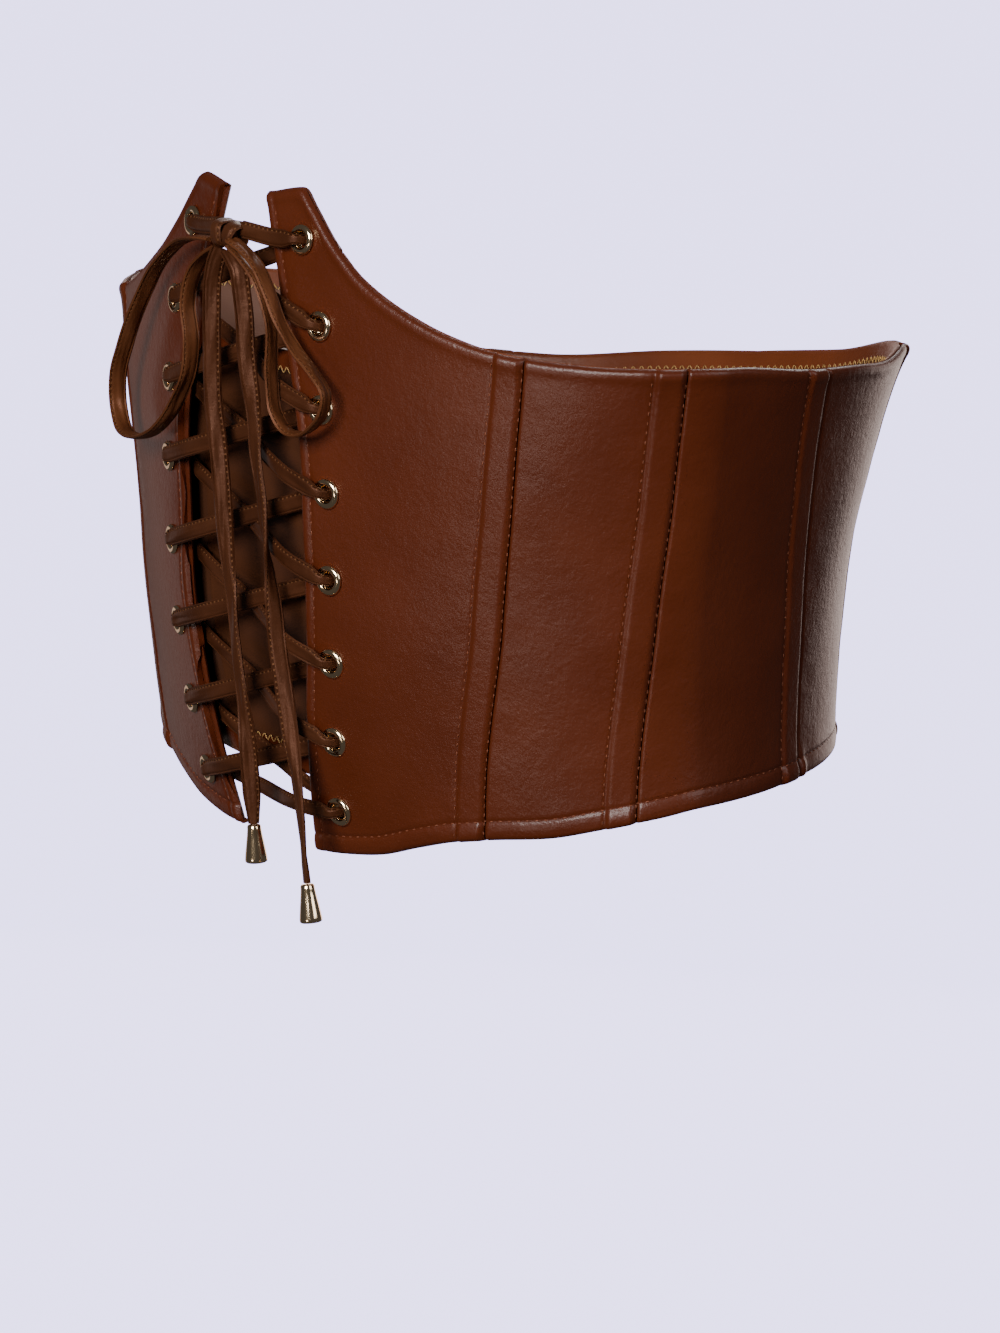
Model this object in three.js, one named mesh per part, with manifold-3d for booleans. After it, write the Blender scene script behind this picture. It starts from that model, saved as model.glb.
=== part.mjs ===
// Corset belt, shown as worn round a waist and laced in front. Millimetres, +Z up.
// The front faces -Y, the wearer's left is +X, and the origin is the middle of the waist hollow.
import * as THREE from 'three';
import { mergeVertices } from 'three/addons/utils/BufferGeometryUtils.js';
import Module from 'manifold-3d';

const wasm = await Module();
wasm.setup();

// Outline of the belt, seen from above
const waistHalfWidth = 116;
const frontDepth = 68.5;        // from the widest line to the front
const backDepth = 102;          // from the widest line to the back
const widestLineForward = 29;   // the widest line lies this far ahead of the origin
const frontSquareness = 1.7;    // 2 is an ellipse, and less has flatter flanks
const backSquareness = 2.2;

// Heights of the front peak and of the low front corner, from the origin
const peakHeight = 106;
const cornerDrop = 76.5;

// Wall
const leatherThickness = 1.6;
const liningThickness = 1.0;
const layerGap = 0.5;
const seamGap = 0.3;
const facingWidth = 25;         // leather turned in behind the eyelets
const liningSetBack = 1;        // from the facing to the lining
const topFacingHeight = 5;
const hemFacingHeight = 7;
const channelWidth = 8;
const channelThickness = 1.0;
const channelGap = 0.3;
const channelSetBack = 0.6;     // from the seam to the channel
const channelEndMargin = 1.2;
const columnWidth = 8;          // longest step along the outline
const innerColumnWidth = 18;
const wallRows = 5;
const frontRows = 8;            // the front stands taller and curves more

// Eyelets
const eyeletRun = 155.3;        // first eyelet to last
const firstEyeletHeight = 92.6;
const eyeletInset = 10;         // from the front edge
const eyeletBore = 2.1;
const eyeletBarrel = 2.7;
const eyeletFlange = 4.2;
const eyeletBackFlange = 3.7;
const flangeThickness = 0.8;
const backFlangeThickness = 0.5;
const fitGap = 0.3;
const eyeletSides = 10;

// Lace
const laceWidth = 5;
const laceThickness = 1.2;
const bunchedWidth = 3;         // where it is squeezed through an eyelet
const bunchedThickness = 1.5;
const laceBend = 1.4;
const laceLift = 0.45;          // how far it stands off the leather at the edge
const crossingShift = 1.05;     // half the distance between two straps that cross

// Flap behind the lacing: sewn along its right side, loose along its left
const flapHead = 61;
const flapFoot = -56;
const flapThickness = 1.2;
const flapLooseReach = 8;       // behind the left front, from the front edge
const flapSeamStart = 19;       // behind the right front, clear of the eyelets
const flapSeamEnd = 24;
const flapBendStart = 15.5;
const flapRows = 4;
const knotHalfSize = new THREE.Vector3(4.4, 2.9, 3.4);
const knotPlace = new THREE.Vector3(1.5, -96.6, 92.6);

// Cord ends
const cordEndLength = 10.5;
const cordEndTop = 1.9;
const cordEndBottom = 3.1;

// Sections of the outline and the lines of edge and seams, from the low corner to the peak.
// width, front and back are shares of the three sizes above. The lines are shares of a quarter
// turn: 1 is the front centre, 0 the widest line and -1 the back centre.
const levels = [
  { at: 0.0, width: 1.03, front: 0.84, back: 0.97, edge: 0.9, s1: 0.54, s2: 0.205, s3: -0.257, s4: -0.6 },
  { at: 0.2, width: 1.0, front: 0.95, back: 1.0, edge: 0.862, s1: 0.485, s2: 0.155, s3: -0.25, s4: -0.58 },
  { at: 0.4, width: 1.017, front: 1.0, back: 1.048, edge: 0.843, s1: 0.444, s2: 0.12, s3: -0.236, s4: -0.565 },
  { at: 0.6, width: 1.065, front: 1.0, back: 1.145, edge: 0.85, s1: 0.437, s2: 0.107, s3: -0.207, s4: -0.555 },
  { at: 0.8, width: 1.123, front: 0.96, back: 1.3, edge: 0.902, s1: 0.445, s2: 0.11, s3: -0.175, s4: -0.548 },
  { at: 1.0, width: 1.168, front: 0.898, back: 1.4, edge: 0.956, s1: 0.475, s2: 0.128, s3: -0.115, s4: -0.54 },
];

// Top edge as a share of the peak height, hem as a share of the corner's drop, round the belt.
// As worn, the top rides up by the lean at the back of the wearer's left and down on the right.
const rims = [
  { at: -1.0, top: 0.382, hem: 0.693, lean: 0 },
  { at: -0.8, top: 0.389, hem: 0.71, lean: 0.044 },
  { at: -0.6, top: 0.412, hem: 0.72, lean: 0.098 },
  { at: -0.5, top: 0.427, hem: 0.718, lean: 0.102 },
  { at: -0.4, top: 0.452, hem: 0.712, lean: 0.073 },
  { at: -0.3, top: 0.528, hem: 0.71, lean: 0.012 },
  { at: -0.13, top: 0.572, hem: 0.716, lean: 0 },
  { at: 0.0, top: 0.604, hem: 0.717, lean: 0 },
  { at: 0.12, top: 0.609, hem: 0.74, lean: 0 },
  { at: 0.26, top: 0.612, hem: 0.78, lean: 0 },
  { at: 0.38, top: 0.62, hem: 0.82, lean: 0 },
  { at: 0.5, top: 0.638, hem: 0.843, lean: 0 },
  { at: 0.59, top: 0.67, hem: 0.869, lean: 0 },
  { at: 0.67, top: 0.715, hem: 0.91, lean: 0 },
  { at: 0.76, top: 0.789, hem: 0.965, lean: 0 },
  { at: 0.82, top: 0.873, hem: 0.985, lean: 0 },
  { at: 0.866, top: 0.961, hem: 0.995, lean: 0 },
  { at: 0.888, top: 1.0, hem: 0.997, lean: 0 },
  { at: 0.956, top: 0.98, hem: 1.0, lean: 0 },
  { at: 1.0, top: 0.976, hem: 1.0, lean: 0 },
];
const peakCorner = 0.888;       // where the flat top of the peak turns down

// Eyelets from the top: share of the run, and share of the inset
const eyeletRows = [
  { down: 0.0, inset: 1.27 },
  { down: 0.142, inset: 1.5 },
  { down: 0.283, inset: 1.05 },
  { down: 0.427, inset: 0.95 },
  { down: 0.578, inset: 0.95 },
  { down: 0.726, inset: 1.0 },
  { down: 0.869, inset: 1.05 },
  { down: 1.0, inset: 1.1 },
];

// Bow and tails: points of the middle line, in front of the lacing
const leftLoopRoute = [
  [-2.7, -98.9, 90.7], [-8.5, -98.6, 90.6], [-15.5, -98, 89.6], [-24, -97, 86.8],
  [-32.5, -96.5, 81.2], [-40.5, -95.5, 74],
  [-48.5, -94.7, 64.6], [-56, -93.5, 55.2], [-62, -92.2, 45.8], [-63.5, -91.5, 38.4],
  [-59.5, -92.8, 32.2], [-49, -95.6, 30.7], [-35.1, -98, 34.5], [-27, -98.5, 39.8],
  [-21, -99, 46.1], [-16, -99, 53.7], [-14.5, -99, 62], [-16, -98.7, 72.6], [-12.6, -98.4, 81.4],
  [-6.6, -98.2, 86.6], [-1.4, -98, 89],
];
const rightLoopRoute = [
  [5.9, -98.7, 89.9], [11.8, -98.4, 86.2], [17.6, -98.2, 81.4], [22.2, -98.2, 71.9],
  [23, -98.8, 55.8], [25, -99.3, 47.8],
  [30.2, -98.8, 43], [35.5, -98.3, 42.8], [40.5, -97.6, 45.4], [44.5, -97.4, 49.6],
  [45.5, -97.2, 54], [40.5, -97.4, 59.6], [32.4, -98, 65.6], [27.6, -98.6, 71.2],
  [23.4, -99.2, 79.4], [17.8, -99.1, 86],
  [12, -99, 89.4], [6.3, -98.9, 91.4],
];
// The last number is the way that the flat side faces, in degrees about the vertical
const leftTailRoute = [
  [1.2, -99.2, 88.7, 52], [-0.6, -99.7, 85, 52], [-2, -100, 79.5, 52], [-2.2, -100.3, 72, 50],
  [-2.4, -100.5, 62, 45],
  [-2.5, -100.5, 52, 42], [-2.2, -100.5, 45, 45], [-0.8, -100.5, 37, 50], [0.4, -100.5, 28, 50],
  [1.1, -100.5, 20, 45], [1.8, -100.4, 10, 30], [2.8, -100.3, 0, 10], [3.9, -100.2, -7, -3],
  [4.4, -100.1, -15, -5], [5.2, -100, -23, -3], [7, -99.8, -33, 5], [8.2, -99.6, -42, 30],
  [9, -99.5, -50, 50], [9.6, -99.3, -60, 50], [10.1, -99.2, -68, 50],
];
const rightTailRoute = [
  [4.2, -98.8, 88.4, 52], [6.9, -99.2, 86.6, 52], [9.3, -99.3, 84, 52], [10.6, -99.2, 78, 52],
  [11.3, -99, 72, 52], [11.7, -99, 62, 52], [12.8, -99, 55, 45], [13.6, -98.7, 49, 30],
  [14.2, -98.6, 42, 12], [14.2, -98.4, 35.6, 2],
  [15.2, -98.4, 29, -3], [16.3, -98.4, 22.3, -8], [16.9, -98.4, 17, -14], [17.3, -98.2, 11.6, -25],
  [18.2, -98, 5, -55], [20.2, -98, -4.3, -97], [22, -98, -17.8, -122], [24.9, -98, -31, -130],
  [27.7, -98, -44.4, -160], [30.2, -98, -57.7, -188], [31.8, -98, -71.3, -202],
  [33.1, -98, -80.2, -195],
];

const leather = new THREE.MeshStandardMaterial({ color: 0x3a140c, roughness: 0.42, metalness: 0 });
const facingLeather = new THREE.MeshStandardMaterial({ color: 0x4a1d10, roughness: 0.5, metalness: 0 });
const satin = new THREE.MeshStandardMaterial({ color: 0x2a1209, roughness: 0.45, metalness: 0 });
const laceCloth = new THREE.MeshStandardMaterial({ color: 0x5b3318, roughness: 0.45, metalness: 0 });
const brass = new THREE.MeshStandardMaterial({ color: 0xcdb892, roughness: 0.2, metalness: 1 });

const belt = new THREE.Group();

// A smooth curve through a column of a table, with no overshoot between its rows.
function readTable(rows, column, at) {
  let row = 0;
  while (row < rows.length - 2 && at > rows[row + 1].at) row += 1;
  const slopeOf = (index) => {
    const next = rows[index + 1];
    return (next[column] - rows[index][column]) / (next.at - rows[index].at);
  };
  const tangentAt = (index) => {
    if (index === 0) return slopeOf(0);
    if (index === rows.length - 1) return slopeOf(index - 1);
    const before = slopeOf(index - 1);
    const after = slopeOf(index);
    return before * after <= 0 ? 0 : (2 * before * after) / (before + after);
  };
  const span = rows[row + 1].at - rows[row].at;
  const t = (at - rows[row].at) / span;
  if (t < 0) return rows[row][column] + tangentAt(row) * (at - rows[row].at);
  if (t > 1) return rows[row + 1][column] + tangentAt(row + 1) * (at - rows[row + 1].at);
  return (2 * t ** 3 - 3 * t ** 2 + 1) * rows[row][column]
    + (t ** 3 - 2 * t ** 2 + t) * span * tangentAt(row)
    + (3 * t ** 2 - 2 * t ** 3) * rows[row + 1][column]
    + (t ** 3 - t ** 2) * span * tangentAt(row + 1);
}

// Past the back centre the outline goes on round the wearer's right side, from -1 to -3.
const folded = (turn) => (turn < -1 ? -2 - turn : turn);
const levelOf = (height) => (height + cornerDrop) / (peakHeight + cornerDrop);
const topHeight = (turn) => {
  const lean = readTable(rims, 'lean', folded(turn));
  return peakHeight * (readTable(rims, 'top', folded(turn)) + (turn < -1 ? -lean : lean));
};
const hemHeight = (turn) => -cornerDrop * readTable(rims, 'hem', folded(turn));
const lineAt = (column) => (height) => readTable(levels, column, levelOf(height));

// Point of the outer surface at a share of a quarter turn and a height.
function outlinePoint(turn, height) {
  const angle = (turn * Math.PI) / 2;
  const squareness = Math.sin(angle) > 0 ? frontSquareness : backSquareness;
  const reach = (Math.abs(Math.cos(angle)) ** squareness + Math.abs(Math.sin(angle)) ** squareness)
    ** (-1 / squareness);
  const level = levelOf(height);
  const halfWidth = waistHalfWidth * readTable(levels, 'width', level);
  const depth = Math.sin(angle) > 0
    ? frontDepth * readTable(levels, 'front', level)
    : backDepth * readTable(levels, 'back', level);
  return new THREE.Vector3(
    halfWidth * reach * Math.cos(angle),
    -widestLineForward - depth * reach * Math.sin(angle),
    height,
  );
}

const smallTurn = 0.01;
const smallRise = 1;

function turnTangent(turn, height) {
  return outlinePoint(turn + smallTurn, height).sub(outlinePoint(turn - smallTurn, height));
}

function upTangent(turn, height) {
  return outlinePoint(turn, height + smallRise).sub(outlinePoint(turn, height - smallRise)).normalize();
}

// Turn that lies a distance in millimetres further towards the front centre of its side.
function stepTowardFront(turn, height, distance) {
  const perTurn = turnTangent(turn, height).length() / (2 * smallTurn);
  return turn + (turn < -1 ? -distance : distance) / perTurn;
}

const shiftedLine = (line, distance) => (height) => stepTowardFront(line(height), height, distance);

// Point at a depth from the outer surface: positive is outside, measured level.
function wallPoint(turn, height, depth) {
  const tangent = turnTangent(turn, height);
  const outward = new THREE.Vector3(-tangent.y, tangent.x, 0).normalize();
  return outlinePoint(turn, height).addScaledVector(outward, depth);
}

// Closed body from rings of points that all have the same number of points.
function bodyFromRings(rings) {
  const positions = [];
  const index = [];
  const around = rings[0].length;
  for (const ring of rings) for (const point of ring) positions.push(point.x, point.y, point.z);
  for (let r = 0; r < rings.length - 1; r += 1) {
    for (let k = 0; k < around; k += 1) {
      const a = r * around + k;
      const b = r * around + ((k + 1) % around);
      index.push(a, b, a + around, b, b + around, a + around);
    }
  }
  const last = (rings.length - 1) * around;
  return { positions, index, around, last };
}

function finishBody(positions, index) {
  const geometry = new THREE.BufferGeometry();
  geometry.setAttribute('position', new THREE.Float32BufferAttribute(positions, 3));
  geometry.setIndex(index);
  return facingOut(geometry);
}

// Turns every face over when the body is inside out.
function facingOut(geometry) {
  const place = geometry.attributes.position;
  const order = geometry.index.array;
  const a = new THREE.Vector3();
  const b = new THREE.Vector3();
  const c = new THREE.Vector3();
  let volume = 0;
  for (let k = 0; k < order.length; k += 3) {
    a.fromBufferAttribute(place, order[k]);
    b.fromBufferAttribute(place, order[k + 1]);
    c.fromBufferAttribute(place, order[k + 2]);
    volume += a.dot(b.cross(c));
  }
  if (volume < 0) {
    for (let k = 0; k < order.length; k += 3) [order[k], order[k + 1]] = [order[k + 1], order[k]];
  }
  return geometry;
}

// Curved sheet of the wall between two lines, two heights and two depths.
// shares are the columns from the first line to the second, low and high take a turn.
function wallPiece({ side, from, to, shares, low, high, rows, outer, inner }) {
  const settlingPasses = 12;    // the lines slant, so the turn and the height are found together
  const turnAt = (share, height) => {
    const turn = from(height) + (to(height) - from(height)) * share;
    return side === 'right' ? -2 - turn : turn;
  };
  const pointAt = (share, rise, depth) => {
    let height = 0;
    for (let pass = 0; pass < settlingPasses; pass += 1) {
      const turn = turnAt(share, height);
      height = low(turn) + (high(turn) - low(turn)) * rise;
    }
    return wallPoint(turnAt(share, height), height, depth);
  };
  const rings = shares.map((share) => {
    const ring = [];
    for (let row = 0; row <= rows; row += 1) ring.push(pointAt(share, row / rows, outer));
    for (let row = rows; row >= 0; row -= 1) ring.push(pointAt(share, row / rows, inner));
    return ring;
  });
  return closedSheet(rings, rows);
}

// Closed sheet from rings that go up one face of it and down the other.
function closedSheet(rings, rows) {
  const { positions, index, around, last } = bodyFromRings(rings);
  for (let row = 0; row < rows; row += 1) {
    const far = around - 1 - row;
    index.push(row, far, row + 1, row + 1, far, far - 1);
    index.push(last + row, last + row + 1, last + far, last + row + 1, last + far - 1, last + far);
  }
  return finishBody(positions, index);
}

// Even columns between two lines, none wider than a given step.
function evenShares(from, to, widest) {
  const height = 0;
  let length = 0;
  const steps = 24;
  for (let k = 0; k < steps; k += 1) {
    const a = from(height) + ((to(height) - from(height)) * k) / steps;
    const b = from(height) + ((to(height) - from(height)) * (k + 1)) / steps;
    length += outlinePoint(a, height).distanceTo(outlinePoint(b, height));
  }
  const count = Math.max(1, Math.ceil(length / widest));
  return Array.from({ length: count + 1 }, (_, k) => k / count);
}

function toSolid(geometry) {
  const bare = geometry.clone();
  bare.deleteAttribute('normal');
  bare.deleteAttribute('uv');
  const merged = mergeVertices(bare, 1e-4);
  return new wasm.Manifold(new wasm.Mesh({
    numProp: 3,
    vertProperties: new Float32Array(merged.attributes.position.array),
    triVerts: new Uint32Array(merged.index.array),
  }));
}

function toGeometry(solid) {
  const mesh = solid.getMesh();
  const geometry = new THREE.BufferGeometry();
  geometry.setAttribute('position', new THREE.BufferAttribute(mesh.vertProperties, 3));
  geometry.setIndex(new THREE.BufferAttribute(mesh.triVerts, 1));
  return geometry;
}

function addPiece(name, geometry, material) {
  geometry.computeVertexNormals();
  const mesh = new THREE.Mesh(geometry, material);
  mesh.name = name;
  belt.add(mesh);
  return mesh;
}

function addPair(name, makeSide, material) {
  for (const side of ['left', 'right']) addPiece(`${name}_${side}`, makeSide(side), material);
}

// Eyelets sit in the wall: where each one is, and how the wall lies there.
function eyeletPlace(row, side) {
  const { down, inset } = eyeletRows[row];
  const height = firstEyeletHeight - down * eyeletRun;
  const edge = lineAt('edge');
  const setBack = inset * eyeletInset;
  const turn = stepTowardFront(edge(height), height, -setBack);
  const flip = new THREE.Vector3(side, 1, 1);
  // Point at a distance towards the edge, off the surface and up from the eyelet's middle.
  const pointAt = (toEdge, off, up) => {
    const level = height + up;
    return wallPoint(stepTowardFront(turn, level, toEdge), level, off).multiply(flip);
  };
  const centre = outlinePoint(turn, height);
  const up = upTangent(turn, height);
  const outward = turnTangent(turn, height).cross(up).normalize();
  if (outward.dot(new THREE.Vector3(centre.x, centre.y + widestLineForward, 0)) < 0) outward.negate();
  return {
    height,
    setBack,
    pointAt,
    centre: centre.multiply(flip),
    up: up.multiply(flip),
    outward: outward.multiply(flip),
  };
}

const eyelets = {
  left: eyeletRows.map((_, row) => eyeletPlace(row, 1)),
  right: eyeletRows.map((_, row) => eyeletPlace(row, -1)),
};
const wallThickness = leatherThickness + layerGap + liningThickness;

function cutEyeletHoles(geometry, side) {
  let solid = toSolid(geometry);
  for (const place of eyelets[side]) {
    const drill = new THREE.CylinderGeometry(
      eyeletBarrel + fitGap, eyeletBarrel + fitGap, wallThickness * 4, eyeletSides,
    );
    const alongHole = new THREE.Quaternion().setFromUnitVectors(new THREE.Vector3(0, 1, 0), place.outward);
    drill.applyQuaternion(alongHole);
    drill.translate(place.centre.x, place.centre.y, place.centre.z);
    solid = solid.subtract(toSolid(drill));
  }
  return toGeometry(solid);
}

// Outer leather, panel by panel, and the boning channels beside the seams
function addPanels() {
  const panels = [
    { name: 'front_panel', from: 'edge', to: 's1' },
    { name: 'side_front_panel', from: 's1', to: 's2' },
    { name: 'side_panel', from: 's2', to: 's3' },
    { name: 'side_back_panel', from: 's3', to: 's4' },
    { name: 'back_panel', from: 's4', to: null },
  ];
  const backCentre = () => -1;
  for (const { name, from, to } of panels) {
    const start = from === 'edge' ? lineAt('edge') : shiftedLine(lineAt(from), -seamGap / 2);
    const end = shiftedLine(to ? lineAt(to) : backCentre, seamGap / 2);
    let shares = evenShares(start, end, columnWidth);
    if (from === 'edge') {
      const cornerShare = (start(peakHeight) - peakCorner) / (start(peakHeight) - end(peakHeight));
      shares = [0, ...shares.slice(0, -1).map((share) => cornerShare + (1 - cornerShare) * share), 1];
    }
    addPair(name, (side) => {
      const panel = wallPiece({
        side, from: start, to: end, shares, low: hemHeight, high: topHeight,
        rows: from === 'edge' ? frontRows : wallRows,
        outer: 0, inner: -leatherThickness,
      });
      return from === 'edge' ? cutEyeletHoles(panel, side) : panel;
    }, leather);
  }
}

function addChannels() {
  const channels = { front_channel: 's1', side_front_channel: 's2', side_channel: 's3', back_channel: 's4' };
  for (const [name, column] of Object.entries(channels)) {
    addPair(name, (side) => wallPiece({
      side,
      from: shiftedLine(lineAt(column), channelSetBack + channelWidth),
      to: shiftedLine(lineAt(column), channelSetBack),
      shares: [0, 0.5, 1],
      low: (turn) => hemHeight(turn) + channelEndMargin,
      high: (turn) => topHeight(turn) - channelEndMargin,
      rows: wallRows,
      outer: channelGap + channelThickness,
      inner: channelGap,
    }), leather);
  }
}

// Inner layer: leather turned in behind the eyelets, facing strips along both rims, and the lining
function addInnerLayer() {
  const outer = -leatherThickness - layerGap;
  const inner = -wallThickness;
  const facingEdge = shiftedLine(lineAt('edge'), -facingWidth);
  const facingShares = [0, 0.2, 0.4, 0.6, 0.8, 1];
  addPair('front_facing', (side) => cutEyeletHoles(wallPiece({
    side, from: lineAt('edge'), to: facingEdge, shares: facingShares,
    low: hemHeight, high: topHeight, rows: frontRows, outer, inner,
  }), side), facingLeather);

  const start = shiftedLine(facingEdge, -liningSetBack);
  const end = (height) => -2 - start(height);
  const shares = evenShares(start, end, innerColumnWidth);
  const layer = (low, high, rows) => wallPiece({
    side: 'left', from: start, to: end, shares, low, high, rows, outer, inner,
  });
  const topFacingFoot = (turn) => topHeight(turn) - topFacingHeight;
  const hemFacingHead = (turn) => hemHeight(turn) + hemFacingHeight;
  addPiece('top_facing', layer(topFacingFoot, topHeight, 1), facingLeather);
  addPiece('hem_facing', layer(hemHeight, hemFacingHead, 1), facingLeather);
  addPiece('lining', layer(
    (turn) => hemFacingHead(turn) + layerGap,
    (turn) => topFacingFoot(turn) - layerGap,
    wallRows,
  ), satin);
}

// Flap that fills the gap behind the lacing, straight between the fronts and curved with them beyond
function addLacingFlap() {
  const edge = lineAt('edge');
  const clearOfLace = insideDepth + laceThickness / 2 + crossingShift + fitGap;
  const againstFacing = wallThickness + fitGap;
  const columns = [
    { side: 1, past: flapLooseReach, depth: clearOfLace },
    { side: 1, past: 0, depth: clearOfLace },
    { side: -1, past: 0, depth: clearOfLace },
    { side: -1, past: flapBendStart / 2, depth: clearOfLace },
    { side: -1, past: flapBendStart, depth: clearOfLace },
    { side: -1, past: flapSeamStart, depth: againstFacing },
    { side: -1, past: flapSeamEnd, depth: againstFacing },
  ];
  const rings = columns.map(({ side, past, depth }) => {
    const pointAt = (row, off) => {
      const height = flapFoot + ((flapHead - flapFoot) * row) / flapRows;
      const turn = stepTowardFront(edge(height), height, -past);
      return wallPoint(turn, height, off).multiply(new THREE.Vector3(side, 1, 1));
    };
    const ring = [];
    for (let row = 0; row <= flapRows; row += 1) ring.push(pointAt(row, -depth));
    for (let row = flapRows; row >= 0; row -= 1) ring.push(pointAt(row, -depth - flapThickness));
    return ring;
  });
  addPiece('lacing_flap', closedSheet(rings, flapRows), satin);
}

// Rolled metal ring with a barrel through the wall and a washer behind it
function addEyelets() {
  const frontFace = fitGap + flangeThickness;
  const backFace = -wallThickness - fitGap;
  const profile = [
    [eyeletBore, backFace - backFlangeThickness],
    [eyeletBackFlange, backFace],
    [eyeletBarrel, backFace],
    [eyeletBarrel, fitGap],
    [eyeletFlange, fitGap],
    [(eyeletFlange + eyeletBore) / 2, frontFace],
    [eyeletBore, frontFace - flangeThickness / 2],
    [eyeletBore, backFace - backFlangeThickness],
  ].map(([radius, along]) => new THREE.Vector2(radius, along));
  for (const side of ['left', 'right']) {
    eyelets[side].forEach((place, row) => {
      const bare = new THREE.LatheGeometry(profile, eyeletSides);
      bare.deleteAttribute('normal');
      bare.deleteAttribute('uv');
      const ring = facingOut(mergeVertices(bare, 1e-4));
      const mesh = addPiece(`eyelet_${side}_${row + 1}`, ring, brass);
      mesh.quaternion.setFromUnitVectors(new THREE.Vector3(0, 1, 0), place.outward);
      mesh.position.copy(place.centre);
    });
  }
}

// Flat lace through stations: each has a middle point, the way its width runs, a width and a thickness.
function laceBody(stations) {
  const rings = stations.map((station, k) => {
    const before = stations[Math.max(k - 1, 0)].point;
    const after = stations[Math.min(k + 1, stations.length - 1)].point;
    const along = after.clone().sub(before).normalize();
    const across = station.across.clone().addScaledVector(along, -station.across.dot(along)).normalize();
    const facing = along.clone().cross(across);
    const halfWidth = station.width / 2;
    const halfThickness = station.thickness / 2;
    const shoulder = halfWidth - halfThickness / 2;
    const section = [
      [halfWidth, 0], [shoulder, halfThickness], [-shoulder, halfThickness],
      [-halfWidth, 0], [-shoulder, -halfThickness], [shoulder, -halfThickness],
    ];
    return section.map(([u, v]) => (
      station.point.clone().addScaledVector(across, u).addScaledVector(facing, v)
    ));
  });
  const { positions, index, around, last } = bodyFromRings(rings);
  for (let k = 1; k < around - 1; k += 1) {
    index.push(0, k + 1, k);
    index.push(last, last + k, last + k + 1);
  }
  return finishBody(positions, index);
}

const flatStation = (point, across) => ({ point, across, width: laceWidth, thickness: laceThickness });

const insideDepth = wallThickness + fitGap + backFlangeThickness + fitGap + laceThickness / 2 + 0.1;
const outsideHeight = fitGap + flangeThickness + fitGap + laceThickness / 2;
const edgeHeight = laceLift + laceThickness;

// Stations through an eyelet, from the inside to the outside. slopes are the rise for each
// millimetre towards the edge, inside and outside.
function throughEyelet(place, insideSlope, outsideSlope) {
  const clearOfFlange = eyeletFlange + laceThickness / 2;
  const bend = laceBend;
  const bunched = (toEdge, off, slope) => ({
    point: place.pointAt(0, 0, 0)
      .addScaledVector(place.outward, off)
      .add(place.pointAt(toEdge, 0, toEdge * slope).sub(place.pointAt(0, 0, 0))),
    across: place.up,
    width: bunchedWidth,
    thickness: bunchedThickness,
  });
  const flat = (toEdge, off, slope) => (
    flatStation(place.pointAt(toEdge, off, toEdge * slope), place.up)
  );
  return [
    flat(clearOfFlange, -insideDepth, insideSlope),
    bunched(bend, -insideDepth, insideSlope),
    bunched(0, -insideDepth + bend, 0),
    bunched(0, outsideHeight - bend, 0),
    bunched(bend, outsideHeight, outsideSlope),
    flat(clearOfFlange, outsideHeight, outsideSlope),
  ];
}

function slopeBetween(from, to) {
  return (to.height - from.height) / (Math.abs(from.centre.x) + Math.abs(to.centre.x));
}

// Strap from one eyelet to another across the front gap, each end inside or outside the wall.
function strapAcross(from, fromInside, to, toInside, shift) {
  const slope = slopeBetween(from, to);
  const pastEdge = 1.5;
  const edgeStation = (place, inside, rise) => {
    const reach = place.setBack + pastEdge;
    return place.pointAt(reach, inside ? -insideDepth : edgeHeight, reach * rise);
  };
  const start = edgeStation(from, fromInside, slope);
  const end = edgeStation(to, toInside, -slope);
  const share = Math.abs(start.x) / (Math.abs(start.x) + Math.abs(end.x));
  const middle = start.clone().lerp(end, share).add(new THREE.Vector3(0, shift, 0));
  const upright = new THREE.Vector3(0, 0, 1);
  return [flatStation(start, from.up), flatStation(middle, upright), flatStation(end, to.up)];
}

// One lace runs from the knot down through every eyelet and back up to the knot. Each strap leaves
// an eyelet outside and reaches the next one up from the inside, so the lowest eyelets take a bar.
function addLace() {
  const stops = [];
  for (let row = 0; row < eyeletRows.length; row += 1) stops.push([row % 2 ? 'left' : 'right', row]);
  for (let row = eyeletRows.length - 1; row >= 0; row -= 1) stops.push([row % 2 ? 'right' : 'left', row]);
  const places = stops.map(([side, row]) => eyelets[side][row]);
  const lowest = eyeletRows.length - 1;
  const stations = [];
  const knotEnd = (reach) => flatStation(
    knotPlace.clone().add(new THREE.Vector3(reach * (knotHalfSize.x + fitGap), laceThickness, laceThickness)),
    new THREE.Vector3(0, 0, 1),
  );
  stations.push(knotEnd(-1));
  places.forEach((place, k) => {
    const goingDown = k <= lowest;
    const before = places[k - 1];
    const after = places[k + 1];
    const slopeBefore = before ? slopeBetween(place, before) : 0;
    const slopeAfter = after ? slopeBetween(place, after) : 0;
    const outwards = !goingDown || k === lowest;
    const passing = outwards
      ? throughEyelet(place, slopeBefore, slopeAfter)
      : throughEyelet(place, slopeAfter, slopeBefore).reverse();
    stations.push(...passing);
    if (!after) return;
    const leavesInside = k < lowest;
    const reachesInside = k >= lowest - 1;
    const crosses = k < lowest - 1 || k > lowest;
    const inFront = (k % 2 === 1) === goingDown ? -crossingShift : crossingShift;
    stations.push(...strapAcross(place, leavesInside, after, reachesInside, crosses ? inFront : 0));
  });
  stations.push(knotEnd(1));
  addPiece('lace', laceBody(stations), laceCloth);
}

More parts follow.
